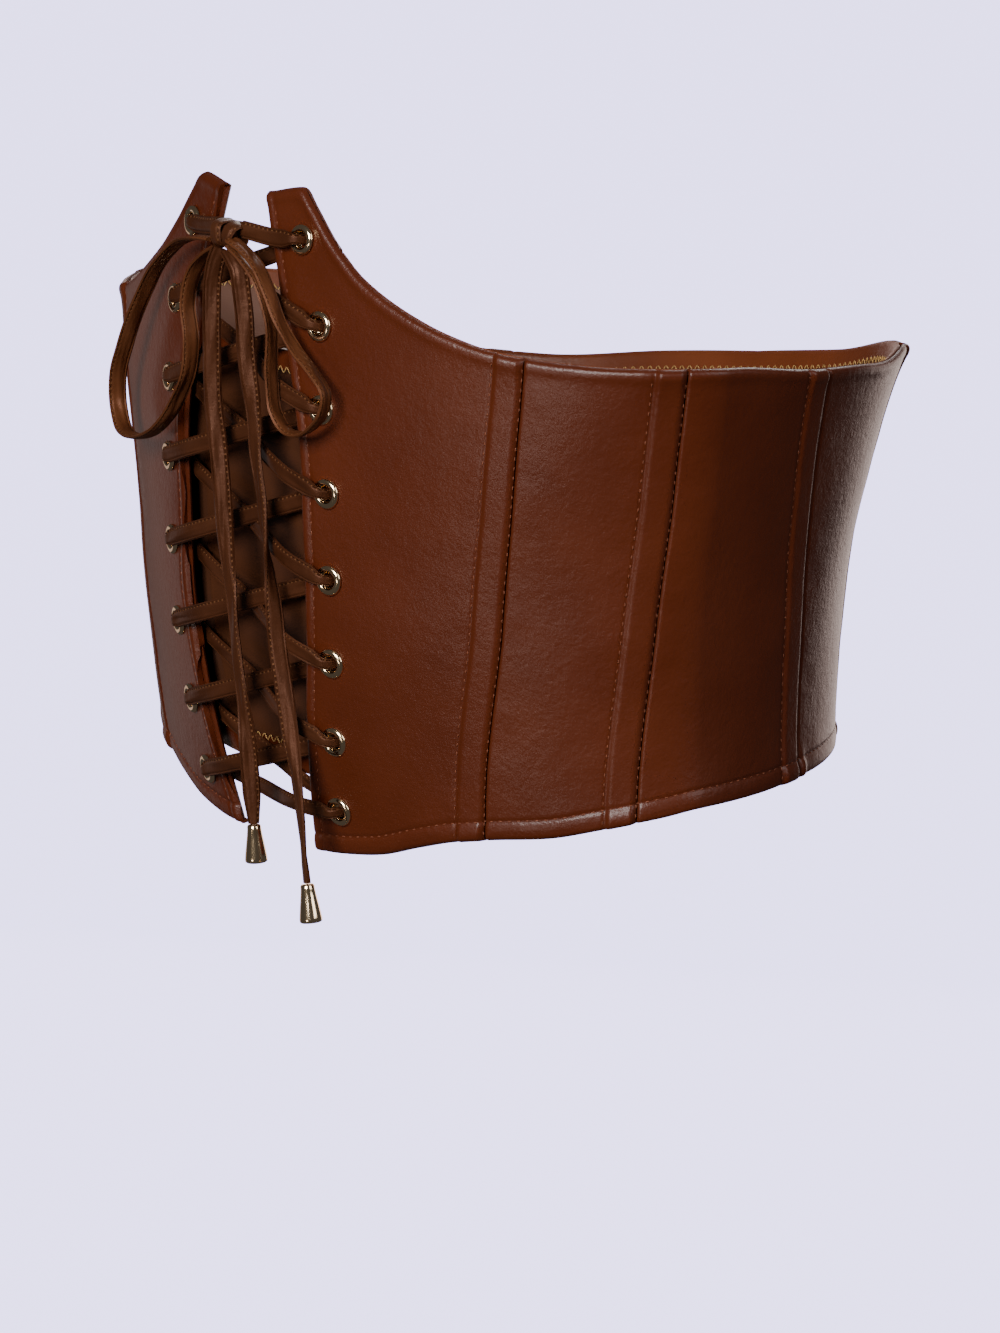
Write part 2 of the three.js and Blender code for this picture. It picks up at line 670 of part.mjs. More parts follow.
function addBow() {
  const knot = new THREE.SphereGeometry(1, 12, 8);
  knot.deleteAttribute('normal');
  knot.deleteAttribute('uv');
  const ball = facingOut(mergeVertices(knot, 1e-4));
  const mesh = addPiece('bow_knot', ball, laceCloth);
  mesh.scale.copy(knotHalfSize);
  mesh.position.copy(knotPlace);

  // A loop's width runs straight out from the belt.
  const outFromBelt = (point) => new THREE.Vector3(point.x / waistHalfWidth, -1, 0).normalize();
  const routes = { bow_loop_left: leftLoopRoute, bow_loop_right: rightLoopRoute };
  for (const [name, route] of Object.entries(routes)) {
    const points = route.map((place) => new THREE.Vector3(...place));
    addPiece(name, laceBody(points.map((point) => flatStation(point, outFromBelt(point)))), laceCloth);
  }
}

function addTail(side, route) {
  const acrossAt = (degrees) => {
    const angle = THREE.MathUtils.degToRad(degrees);
    return new THREE.Vector3(Math.cos(angle), Math.sin(angle), 0);
  };
  const stations = route.map(([x, y, z, degrees]) => (
    flatStation(new THREE.Vector3(x, y, z), acrossAt(degrees))
  ));
  const foot = stations[stations.length - 1];
  foot.width = cordEndTop * 2;
  addPiece(`lace_tail_${side}`, laceBody(stations), laceCloth);

  const halfLength = cordEndLength / 2;
  const bell = new THREE.LatheGeometry([
    new THREE.Vector2(0, -halfLength),
    new THREE.Vector2(cordEndBottom * 0.84, -halfLength),
    new THREE.Vector2(cordEndBottom, -halfLength * 0.89),
    new THREE.Vector2(cordEndBottom * 0.93, -halfLength * 0.54),
    new THREE.Vector2(cordEndTop * 1.12, halfLength * 0.7),
    new THREE.Vector2(cordEndTop, halfLength * 0.92),
    new THREE.Vector2(cordEndTop * 0.79, halfLength),
    new THREE.Vector2(0, halfLength),
  ], eyeletSides);
  bell.deleteAttribute('normal');
  bell.deleteAttribute('uv');
  const before = stations[stations.length - 2].point;
  const along = before.clone().sub(foot.point).normalize();
  const mesh = addPiece(`cord_end_${side}`, facingOut(mergeVertices(bell, 1e-4)), brass);
  mesh.quaternion.setFromUnitVectors(new THREE.Vector3(0, 1, 0), along);
  mesh.position.copy(foot.point).addScaledVector(along, -halfLength - fitGap);
}

addPanels();
addChannels();
addInnerLayer();
addLacingFlap();
addEyelets();
addLace();
addBow();
addTail('left', leftTailRoute);
addTail('right', rightTailRoute);

export default belt;
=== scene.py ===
import math

import bpy
import numpy as np
from mathutils import Matrix, Vector


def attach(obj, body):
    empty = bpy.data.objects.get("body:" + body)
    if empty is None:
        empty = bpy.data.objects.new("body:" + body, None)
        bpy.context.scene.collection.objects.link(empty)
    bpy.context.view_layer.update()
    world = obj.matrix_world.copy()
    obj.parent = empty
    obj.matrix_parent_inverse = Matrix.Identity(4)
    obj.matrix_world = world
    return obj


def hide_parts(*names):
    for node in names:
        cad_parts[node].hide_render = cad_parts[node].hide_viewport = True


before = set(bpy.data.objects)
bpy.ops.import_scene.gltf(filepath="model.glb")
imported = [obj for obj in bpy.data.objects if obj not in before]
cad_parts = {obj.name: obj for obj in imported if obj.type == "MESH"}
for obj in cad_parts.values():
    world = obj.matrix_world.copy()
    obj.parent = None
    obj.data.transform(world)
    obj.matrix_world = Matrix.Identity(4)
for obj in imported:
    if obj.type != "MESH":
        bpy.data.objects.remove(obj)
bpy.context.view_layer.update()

MM = 0.001

# Camera, at the angle of the photograph

CAMERA_PLACE = (1.100, -0.841, 0.273)
CAMERA_AZIMUTH = math.radians(52.82)
CAMERA_ELEVATION = math.radians(12.76)
CAMERA_ROLL = math.radians(-0.78)
LENS = 134.8
SENSOR = 36


def add_object(name, data):
    obj = bpy.data.objects.new(name, data)
    bpy.context.scene.collection.objects.link(obj)
    return obj


def aim_camera():
    """Puts the camera where the photograph was taken from."""
    turn = (
        Matrix.Rotation(CAMERA_AZIMUTH, 3, "Z")
        @ Matrix.Rotation(math.pi / 2 - CAMERA_ELEVATION, 3, "X")
        @ Matrix.Rotation(CAMERA_ROLL, 3, "Z")
    )
    data = bpy.data.cameras.new("camera")
    data.lens = LENS
    data.sensor_width = SENSOR
    data.clip_start = 0.05
    data.clip_end = 100
    camera = add_object("camera", data)
    camera.rotation_mode = "QUATERNION"
    camera.location = CAMERA_PLACE
    camera.rotation_quaternion = turn.to_quaternion()
    bpy.context.scene.camera = camera


aim_camera()

# Sizes, in millimetres

WAIST_HALF_WIDTH = 116
FRONT_DEPTH = 68.5
BACK_DEPTH = 102
WIDEST_LINE_FORWARD = 29
FRONT_SQUARENESS = 1.7
BACK_SQUARENESS = 2.2
PEAK_HEIGHT = 106
CORNER_DROP = 76.5
LEATHER = 1.6
LINING = 1.0
LAYER_GAP = 0.5
WALL = LEATHER + LAYER_GAP + LINING
SEAM_GAP = 0.3
FACING_WIDTH = 25
LINING_SET_BACK = 1
TOP_FACING = 5
HEM_FACING = 7
CHANNEL_START = 0.6
CHANNEL_END = 8.6
EDGE_ROLL = 1.4
FACING_ROLL = 0.8
HEM_STITCH = 5.4
EDGE_STITCH = 3.6

EYELET_RUN = 155.3
FIRST_EYELET = 92.6
EYELET_INSET = 10
EYELET_BORE = 2.1
EYELET_BARREL = 2.7
EYELET_FLANGE = 4.2
EYELET_BACK_FLANGE = 3.7
FLANGE_THICKNESS = 0.8
BACK_FLANGE_THICKNESS = 0.5
FIT_GAP = 0.3

LACE_WIDTH = 5
LACE_THICKNESS = 1.2
BUNCHED_WIDTH = 3
BUNCHED_THICKNESS = 1.5
LACE_BEND = 1.4
LACE_LIFT = 0.45
CROSSING_SHIFT = 1.05
INSIDE_DEPTH = WALL + FIT_GAP + BACK_FLANGE_THICKNESS + FIT_GAP + LACE_THICKNESS / 2 + 0.1
OUTSIDE_HEIGHT = FIT_GAP + FLANGE_THICKNESS + FIT_GAP + LACE_THICKNESS / 2
EDGE_HEIGHT = LACE_LIFT + LACE_THICKNESS
PAST_EDGE = 1.5
KNOT_HALF_SIZE = np.array([4.4, 2.9, 3.4])
KNOT_PLACE = np.array([1.5, -96.6, 92.6])
CORD_END_LENGTH = 10.5
CORD_END_TOP = 1.9
CORD_END_BOTTOM = 3.1

STITCH_PITCH = 2.6
STITCH_LENGTH = 1.05
STITCH_THICKNESS = 0.17
STITCH_LIFT = 0.06
OVERLOCK_PITCH = 1.5
OVERLOCK_LENGTH = 2.3
OVERLOCK_THICKNESS = 0.2
OVERLOCK_SLANT = 0.7

FLAP_HEAD = 61
FLAP_FOOT = -56
FLAP_THICKNESS = 1.2
FLAP_LOOSE_REACH = 8
FLAP_BEND_START = 15.5
FLAP_SEAM_START = 19
FLAP_SEAM_END = 24
FLAP_STRIP_OFF = 0.3
FLAP_STRIP_OVERHANG = 0.4

# Left is +X. Round the belt a place has a turn: 1 at the middle of the front, 0 at the left side,
# -1 at the middle of the back, and on to -3 by the right side.
# Height share, then shares of width, front and back, and the turns of the edge and the seams
LEVELS = np.array([
    [0.0, 1.03, 0.84, 0.97, 0.9, 0.54, 0.205, -0.257, -0.6],
    [0.2, 1.0, 0.95, 1.0, 0.862, 0.485, 0.155, -0.25, -0.58],
    [0.4, 1.017, 1.0, 1.048, 0.843, 0.444, 0.12, -0.236, -0.565],
    [0.6, 1.065, 1.0, 1.145, 0.85, 0.437, 0.107, -0.207, -0.555],
    [0.8, 1.123, 0.96, 1.3, 0.902, 0.445, 0.11, -0.175, -0.548],
    [1.0, 1.168, 0.898, 1.4, 0.956, 0.475, 0.128, -0.115, -0.54],
])
WIDTH, FRONT, BACK, EDGE, SEAM_1, SEAM_2, SEAM_3, SEAM_4 = range(1, 9)

# Turn, then the top as a share of the peak height, the hem as a share of the corner drop, and
# how far the top of the back rides up on the left and down on the right
RIMS = np.array([
    [-1.0, 0.382, 0.693, 0],
    [-0.8, 0.389, 0.71, 0.044],
    [-0.6, 0.412, 0.72, 0.098],
    [-0.5, 0.427, 0.718, 0.102],
    [-0.4, 0.452, 0.712, 0.073],
    [-0.3, 0.528, 0.71, 0.012],
    [-0.13, 0.572, 0.716, 0],
    [0.0, 0.604, 0.717, 0],
    [0.12, 0.609, 0.74, 0],
    [0.26, 0.612, 0.78, 0],
    [0.38, 0.62, 0.82, 0],
    [0.5, 0.638, 0.843, 0],
    [0.59, 0.67, 0.869, 0],
    [0.67, 0.715, 0.91, 0],
    [0.76, 0.789, 0.965, 0],
    [0.82, 0.873, 0.985, 0],
    [0.866, 0.961, 0.995, 0],
    [0.888, 1.0, 0.997, 0],
    [0.956, 0.98, 1.0, 0],
    [1.0, 0.976, 1.0, 0],
])
TOP, HEM, LEAN = 1, 2, 3
PEAK_CORNER = 0.888

# Eyelets from the top: share of the run, share of the inset
EYELET_ROWS = [
    (0.0, 1.27), (0.142, 1.5), (0.283, 1.05), (0.427, 0.95),
    (0.578, 0.95), (0.726, 1.0), (0.869, 1.05), (1.0, 1.1),
]

# Routes of the bow's loops and the hanging ends, from the knot
LEFT_LOOP = [
    (-2.7, -98.9, 90.7), (-8.5, -98.6, 90.6), (-15.5, -98, 89.6), (-24, -97, 86.8),
    (-32.5, -96.5, 81.2), (-40.5, -95.5, 74), (-48.5, -94.7, 64.6), (-56, -93.5, 55.2),
    (-62, -92.2, 45.8), (-63.5, -91.5, 38.4), (-59.5, -92.8, 32.2), (-49, -95.6, 30.7),
    (-35.1, -98, 34.5), (-27, -98.5, 39.8), (-21, -99, 46.1), (-16, -99, 53.7),
    (-14.5, -99, 62), (-16, -98.7, 72.6), (-12.6, -98.4, 81.4), (-6.6, -98.2, 86.6),
    (-1.4, -98, 89),
]
RIGHT_LOOP = [
    (5.9, -98.7, 89.9), (11.8, -98.4, 86.2), (17.6, -98.2, 81.4), (22.2, -98.2, 71.9),
    (23, -98.8, 55.8), (25, -99.3, 47.8), (30.2, -98.8, 43), (35.5, -98.3, 42.8),
    (40.5, -97.6, 45.4), (44.5, -97.4, 49.6), (45.5, -97.2, 54), (40.5, -97.4, 59.6),
    (32.4, -98, 65.6), (27.6, -98.6, 71.2), (23.4, -99.2, 79.4), (17.8, -99.1, 86),
    (12, -99, 89.4), (6.3, -98.9, 91.4),
]
# The last number is the way the tape's width runs, in degrees about the vertical
LEFT_TAIL = [
    (1.2, -99.2, 88.7, 52), (-0.6, -99.7, 85, 52), (-2, -100, 79.5, 52), (-2.2, -100.3, 72, 50),
    (-2.4, -100.5, 62, 45), (-2.5, -100.5, 52, 42), (-2.2, -100.5, 45, 45),
    (-0.8, -100.5, 37, 50), (0.4, -100.5, 28, 50), (1.1, -100.5, 20, 45), (1.8, -100.4, 10, 30),
    (2.8, -100.3, 0, 10), (3.9, -100.2, -7, -3), (4.4, -100.1, -15, -5), (5.2, -100, -23, -3),
    (7, -99.8, -33, 5), (8.2, -99.6, -42, 30), (9, -99.5, -50, 50), (9.6, -99.3, -60, 50),
    (10.1, -99.2, -68, 50),
]
RIGHT_TAIL = [
    (4.2, -98.8, 88.4, 52), (6.9, -99.2, 86.6, 52), (9.3, -99.3, 84, 52), (10.6, -99.2, 78, 52),
    (11.3, -99, 72, 52), (11.7, -99, 62, 52), (12.8, -99, 55, 45), (13.6, -98.7, 49, 30),
    (14.2, -98.6, 42, 12), (14.2, -98.4, 35.6, 2), (15.2, -98.4, 29, -3),
    (16.3, -98.4, 22.3, -8), (16.9, -98.4, 17, -14), (17.3, -98.2, 11.6, -25),
    (18.2, -98, 5, -55), (20.2, -98, -4.3, -97), (22, -98, -17.8, -122), (24.9, -98, -31, -130),
    (27.7, -98, -44.4, -160), (30.2, -98, -57.7, -188), (31.8, -98, -71.3, -202),
    (33.1, -98, -80.2, -195),
]

# The wall: every place on it has a turn, a height and a depth


def hermite(t, span, start, start_slope, end, end_slope):
    """Smooth curve between two values that have slopes, at a share t of the span."""
    return (
        (2 * t**3 - 3 * t**2 + 1) * start
        + (t**3 - 2 * t**2 + t) * span * start_slope
        + (3 * t**2 - 2 * t**3) * end
        + (t**3 - t**2) * span * end_slope
    )


def read_table(rows, column, at):
    """A smooth curve through a column of a table, with no overshoot between its rows."""
    at = np.asarray(at, float)
    x, y = rows[:, 0], rows[:, column]
    slope = np.diff(y) / np.diff(x)
    one_way = slope[:-1] * slope[1:] > 0
    total = np.where(one_way, slope[:-1] + slope[1:], 1)
    inner = np.where(one_way, 2 * slope[:-1] * slope[1:] / total, 0)
    tangent = np.concatenate([slope[:1], inner, slope[-1:]])
    row = np.clip(np.searchsorted(x, at) - 1, 0, len(x) - 2)
    span = x[row + 1] - x[row]
    t = (at - x[row]) / span
    curve = hermite(t, span, y[row], tangent[row], y[row + 1], tangent[row + 1])
    before = y[row] + tangent[row] * (at - x[row])
    after = y[row + 1] + tangent[row + 1] * (at - x[row + 1])
    return np.where(t < 0, before, np.where(t > 1, after, curve))


def folded(turn):
    """The turn of the mirror place on the left."""
    return np.where(turn < -1, -2 - turn, turn)


def top_height(turn):
    lean = read_table(RIMS, LEAN, folded(turn))
    return PEAK_HEIGHT * (read_table(RIMS, TOP, folded(turn)) + np.where(turn < -1, -lean, lean))


def hem_height(turn):
    return -CORNER_DROP * read_table(RIMS, HEM, folded(turn))


def level_of(height):
    return (height + CORNER_DROP) / (PEAK_HEIGHT + CORNER_DROP)


def line_at(column):
    return lambda height: read_table(LEVELS, column, level_of(height))


def outline_point(turn, height):
    """Point of the outer surface, before its relief."""
    turn, height = np.broadcast_arrays(np.asarray(turn, float), np.asarray(height, float))
    angle = turn * math.pi / 2
    in_front = np.sin(angle) > 0
    squareness = np.where(in_front, FRONT_SQUARENESS, BACK_SQUARENESS)
    across, ahead = np.abs(np.cos(angle)), np.abs(np.sin(angle))
    reach = (across**squareness + ahead**squareness) ** (-1 / squareness)
    level = level_of(height)
    half_width = WAIST_HALF_WIDTH * read_table(LEVELS, WIDTH, level)
    front = FRONT_DEPTH * read_table(LEVELS, FRONT, level)
    back = BACK_DEPTH * read_table(LEVELS, BACK, level)
    depth = np.where(in_front, front, back)
    return np.stack([
        half_width * reach * np.cos(angle),
        -WIDEST_LINE_FORWARD - depth * reach * np.sin(angle),
        height,
    ], axis=-1)


SMALL_TURN = 0.01
SETTLING_ROUNDS = 12


def turn_tangent(turn, height):
    return outline_point(turn + SMALL_TURN, height) - outline_point(turn - SMALL_TURN, height)


def up_tangent(turn, height):
    way = outline_point(turn, height + 1) - outline_point(turn, height - 1)
    return way / np.linalg.norm(way, axis=-1, keepdims=True)


def length_per_turn(turn, height):
    return np.linalg.norm(turn_tangent(turn, height), axis=-1) / (2 * SMALL_TURN)


def step_to_front(turn, height, distance):
    """The turn at a distance towards the front edge."""
    return turn + np.where(turn < -1, -distance, distance) / length_per_turn(turn, height)


def shifted_line(line, distance):
    return lambda height: step_to_front(line(height), height, distance)


def wall_point(turn, height, depth):
    """Place at a depth from the outer surface: positive is outside, measured level."""
    tangent = turn_tangent(turn, height)
    outward = np.stack([-tangent[..., 1], tangent[..., 0], 0 * tangent[..., 0]], axis=-1)
    outward /= np.linalg.norm(outward, axis=-1, keepdims=True)
    return outline_point(turn, height) + outward * np.asarray(depth, float)[..., None]


def on_side(turn, side):
    """The same turn on the left (1) or the right (-1)."""
    return turn if side > 0 else -2 - turn


def spread(side, line_from, line_to, share, rise, low, high):
    """Turn and height of the places at a share across and a share up a panel.

    The lines lean and the rims slope, so each depends on the other: a few rounds settle both.
    """
    height = np.zeros_like(share)
    for _ in range(SETTLING_ROUNDS):
        turn = on_side(line_from(height) + (line_to(height) - line_from(height)) * share, side)
        height = low(turn) + (high(turn) - low(turn)) * rise
    return turn, height


def hump(distance, width):
    return np.exp(-(distance / width) ** 2)


def smooth_step(low, high, value):
    t = np.clip((value - low) / (high - low), 0, 1)
    return t * t * (3 - 2 * t)


def roll(distance, radius):
    """How far a rolled edge has turned in, at a distance from its rim."""
    inside = np.clip(radius - distance, 0, radius)
    return radius - np.sqrt(np.maximum(radius**2 - inside**2, 0))


def wobble(along, seed):
    """Slow uneven wave from -1 to 1."""
    return (
        0.5 * np.sin(along / 7.3 + seed)
        + 0.3 * np.sin(along / 3.9 + 2.1 * seed)
        + 0.2 * np.sin(along / 2.3 + 3.7 * seed)
    )


def nearest_rim(*distances):
    """Distance from the nearest rim, with the corner between two rims rounded off."""
    short = [np.clip(EDGE_ROLL - distance, 0, None) for distance in distances]
    return EDGE_ROLL - np.sqrt(sum(value**2 for value in short))


SEAM_LINES = [line_at(SEAM_1), line_at(SEAM_2), line_at(SEAM_3), line_at(SEAM_4)]

# Relief of the outer leather. Each hump below ends with its reach in millimetres
SLOW_WAVE = 0.35
CHANNEL_RISE = 0.45
CHANNEL_PUFF = 0.45
SEAM_GROOVE = 0.75
STITCH_GROOVE = 0.28
CHANNEL_PUCKER = 0.14
PANEL_PUCKER = 0.12
EDGE_GROOVE = 0.22
EDGE_PUFF = 0.2
EDGE_WAVE = 0.45
HEM_PUFF = 0.25
HEM_PUCKER = 0.16
TOP_PUFF = 0.3
TOP_PUCKER = 0.1
HEM_PINCH = 0.9


def leather_relief(turn, height):
    """Depth of the outer leather: channels, grooves, puckers at stitches and rolled rims."""
    speed = length_per_turn(turn, height)
    above_hem = height - hem_height(turn)
    below_top = top_height(turn) - height
    side = 2 * smooth_step(-14, 14, (turn + 1) * speed) - 1
    turn = folded(turn)
    depth = SLOW_WAVE * np.sin(turn * 9 + height / 31 + side) * np.sin(height / 24 + turn * 5)
    for number, seam in enumerate(SEAM_LINES):
        ahead = (turn - seam(height)) * speed
        past = ahead - CHANNEL_END
        channel = smooth_step(CHANNEL_START - 0.2, CHANNEL_START + 1.3, ahead)
        channel *= 1 - smooth_step(CHANNEL_END - 1.6, CHANNEL_END + 0.2, ahead)
        depth += CHANNEL_RISE * channel - SEAM_GROOVE * hump(ahead, 0.45)
        depth += CHANNEL_PUFF * channel * (hump(below_top - 2, 4) + hump(above_hem - 2, 3))
        depth -= STITCH_GROOVE * hump(past - 0.2, 0.55)
        depth += CHANNEL_PUCKER * wobble(height * 1.4, number + side) * hump(past - 2, 5)
        depth += PANEL_PUCKER * wobble(height * 1.7, number * 2 + side) * hump(ahead + 4, 4)
    behind_side_seam = (turn - SEAM_LINES[2](height)) * speed + 2.2
    depth += HEM_PINCH * hump(behind_side_seam, 1.5) * hump(above_hem - 2, 4)
    to_edge = (line_at(EDGE)(height) - turn) * speed
    depth -= EDGE_GROOVE * hump(to_edge - EDGE_STITCH, 0.55) - EDGE_PUFF * hump(to_edge - 1.9, 1.1)
    depth += EDGE_WAVE * wobble(height * 0.55, 5 + side) * hump(to_edge, 7)
    depth += HEM_PUFF * hump(above_hem - 2.8, 1.8) - STITCH_GROOVE * hump(above_hem - HEM_STITCH, 0.6)
    depth += HEM_PUCKER * wobble(turn * 150, side) * hump(above_hem - HEM_STITCH - 1, 4)
    depth += TOP_PUFF * hump(below_top - 2.2, 1.4)
    depth += TOP_PUCKER * wobble(turn * 110, side + 4) * hump(below_top - 3, 4)
    return depth - roll(nearest_rim(to_edge, above_hem, below_top), EDGE_ROLL)


# Making meshes

SAME_PLACE = 1e-6


def deselect_all():
    bpy.ops.object.select_all(action="DESELECT")


def make_active(obj):
    deselect_all()
    obj.select_set(True)
    bpy.context.view_layer.objects.active = obj


def thicken(obj, thickness, way):
    """Gives a sheet its thickness in millimetres, in front of its faces (1) or behind them (-1)."""
    make_active(obj)
    modifier = obj.modifiers.new("Thickness", "SOLIDIFY")
    modifier.thickness = thickness * MM
    modifier.offset = way
    modifier.use_even_offset = False
    bpy.ops.object.modifier_apply(modifier=modifier.name)


def set_places(obj, points):
    """Gives every vertex its place, in millimetres."""
    obj.data.vertices.foreach_set("co", (np.asarray(points, float) * MM).ravel())
    obj.data.update()


def new_grid(name, columns, rows):
    """Flat grid, with the column and row number of each of its vertices."""
    deselect_all()
    bpy.ops.mesh.primitive_grid_add(
        x_subdivisions=columns, y_subdivisions=rows, size=2, calc_uvs=True,
    )
    obj = bpy.context.object
    obj.name = name
    obj.data.name = name
    flat = np.empty(len(obj.data.vertices) * 3)
    obj.data.vertices.foreach_get("co", flat)
    flat = flat.reshape(-1, 3)
    column = np.rint((flat[:, 0] + 1) / 2 * columns).astype(int)
    row = np.rint((flat[:, 1] + 1) / 2 * rows).astype(int)
    return obj, column, row


def stretch_uv(obj, along, around):
    """UV in millimetres, so that a pattern keeps its size."""
    layer = obj.data.uv_layers.active.data
    flat = np.empty(len(layer) * 2)
    layer.foreach_get("uv", flat)
    flat = flat.reshape(-1, 2) * np.array([along, around])
    layer.foreach_set("uv", flat.ravel())


def in_edit_mode(obj, work):
    make_active(obj)
    bpy.ops.object.mode_set(mode="EDIT")
    work()
    bpy.ops.object.mode_set(mode="OBJECT")


def faces_out():
    """Turns every face of the piece in edit mode outwards."""
    bpy.ops.mesh.select_all(action="SELECT")
    bpy.ops.mesh.normals_make_consistent(inside=False)


def face_values(obj, kind):
    """Centres or normals of the faces, in Blender's own units."""
    values = np.empty(len(obj.data.polygons) * 3)
    obj.data.polygons.foreach_get(kind, values)
    return values.reshape(-1, 3)


def delete_faces(obj, doomed):
    """Deletes the faces whose centres, in millimetres, pass a test."""
    marks = doomed(face_values(obj, "center") / MM)
    in_edit_mode(obj, lambda: bpy.ops.mesh.select_all(action="DESELECT"))
    obj.data.polygons.foreach_set("select", marks)
    in_edit_mode(obj, lambda: bpy.ops.mesh.delete(type="FACE"))


def close_tube(obj):
    """Joins the two long sides of a rolled grid and closes its ends."""
    def work():
        bpy.ops.mesh.select_all(action="SELECT")
        bpy.ops.mesh.remove_doubles(threshold=SAME_PLACE)
        bpy.ops.mesh.select_all(action="DESELECT")
        bpy.ops.mesh.select_mode(type="EDGE")
        bpy.ops.mesh.select_non_manifold()
        bpy.ops.mesh.fill()
        faces_out()
        bpy.ops.mesh.select_mode(type="VERT")
    in_edit_mode(obj, work)


def shade(obj, angle):
    make_active(obj)
    bpy.ops.object.shade_smooth_by_angle(angle=math.radians(angle))


def settle(obj, material, nodes=()):
    """Gives a finished piece its material and its body, and hides the CAD nodes that it stands for.
    """
    obj.data.materials.clear()
    obj.data.materials.append(material)
    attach(obj, "root")
    if nodes:
        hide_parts(*nodes)


def repeat(name, model, places):
    """One mesh with a copy of the model at every place, each a 4x4 matrix in millimetres."""
    corners = np.array([v.co[:] + (1,) for v in model.data.vertices])
    faces = [tuple(p.vertices) for p in model.data.polygons]
    points = np.concatenate([corners @ np.asarray(place).T for place in places])[:, :3]
    count = len(corners)
    copied = [tuple(v + k * count for v in face) for k in range(len(places)) for face in faces]
    mesh = bpy.data.meshes.new(name)
    mesh.from_pydata((points * MM).tolist(), [], copied)
    return add_object(name, mesh)


def turned(name, profile, sides):
    """Turned piece: a circle extruded ring by ring through radius and height, in millimetres."""
    deselect_all()
    radius, height = profile[0]
    bpy.ops.mesh.primitive_circle_add(
        vertices=sides, radius=radius * MM, location=(0, 0, height * MM),
    )
    obj = bpy.context.object
    obj.name = name
    obj.data.name = name
    bpy.ops.object.transform_apply(location=True, rotation=True, scale=True)
    bpy.ops.object.mode_set(mode="EDIT")
    bpy.ops.mesh.select_all(action="SELECT")
    for next_radius, next_height in profile[1:]:
        bpy.ops.mesh.extrude_edges_move(
            TRANSFORM_OT_translate={"value": (0, 0, (next_height - height) * MM)},
        )
        factor = next_radius / radius
        bpy.ops.transform.resize(
            value=(factor, factor, 1), center_override=(0, 0, next_height * MM),
        )
        radius, height = next_radius, next_height
    bpy.ops.mesh.select_all(action="SELECT")
    bpy.ops.mesh.remove_doubles(threshold=SAME_PLACE)
    bpy.ops.mesh.normals_make_consistent(inside=False)
    bpy.ops.object.mode_set(mode="OBJECT")
    return obj


def place_mesh(obj, matrix):
    """Moves the mesh itself, so that its object stays at the origin."""
    obj.data.transform(matrix)
    obj.data.update()


def remove(obj):
    mesh = obj.data
    bpy.data.objects.remove(obj)
    bpy.data.meshes.remove(mesh)


def facing_matrix(place, way):
    """Matrix in metres that stands a piece at a place in millimetres with its +Z along a way."""
    turn = Vector((0, 0, 1)).rotation_difference(Vector(way)).to_matrix().to_4x4()
    return Matrix.Translation(Vector(place) * MM) @ turn


# Materials


class Value:
    """A socket that can be added, subtracted and multiplied in a Python expression."""

    def __init__(self, look, socket):
        self.look = look
        self.socket = socket

    def __add__(self, other):
        return self.look.maths("ADD", self, other)

    def __sub__(self, other):
        return self.look.maths("SUBTRACT", self, other)

    def __rsub__(self, other):
        return self.look.maths("SUBTRACT", other, self)

    def __mul__(self, other):
        return self.look.maths("MULTIPLY", self, other)

    __radd__ = __add__
    __rmul__ = __mul__


# Numbers of sockets that have no name of their own
OBJECT_PLACE, UV_PLACE = 3, 2
MIX_FACTOR, MIX_FIRST, MIX_SECOND, MIX_COLOUR = 0, 6, 7, 2


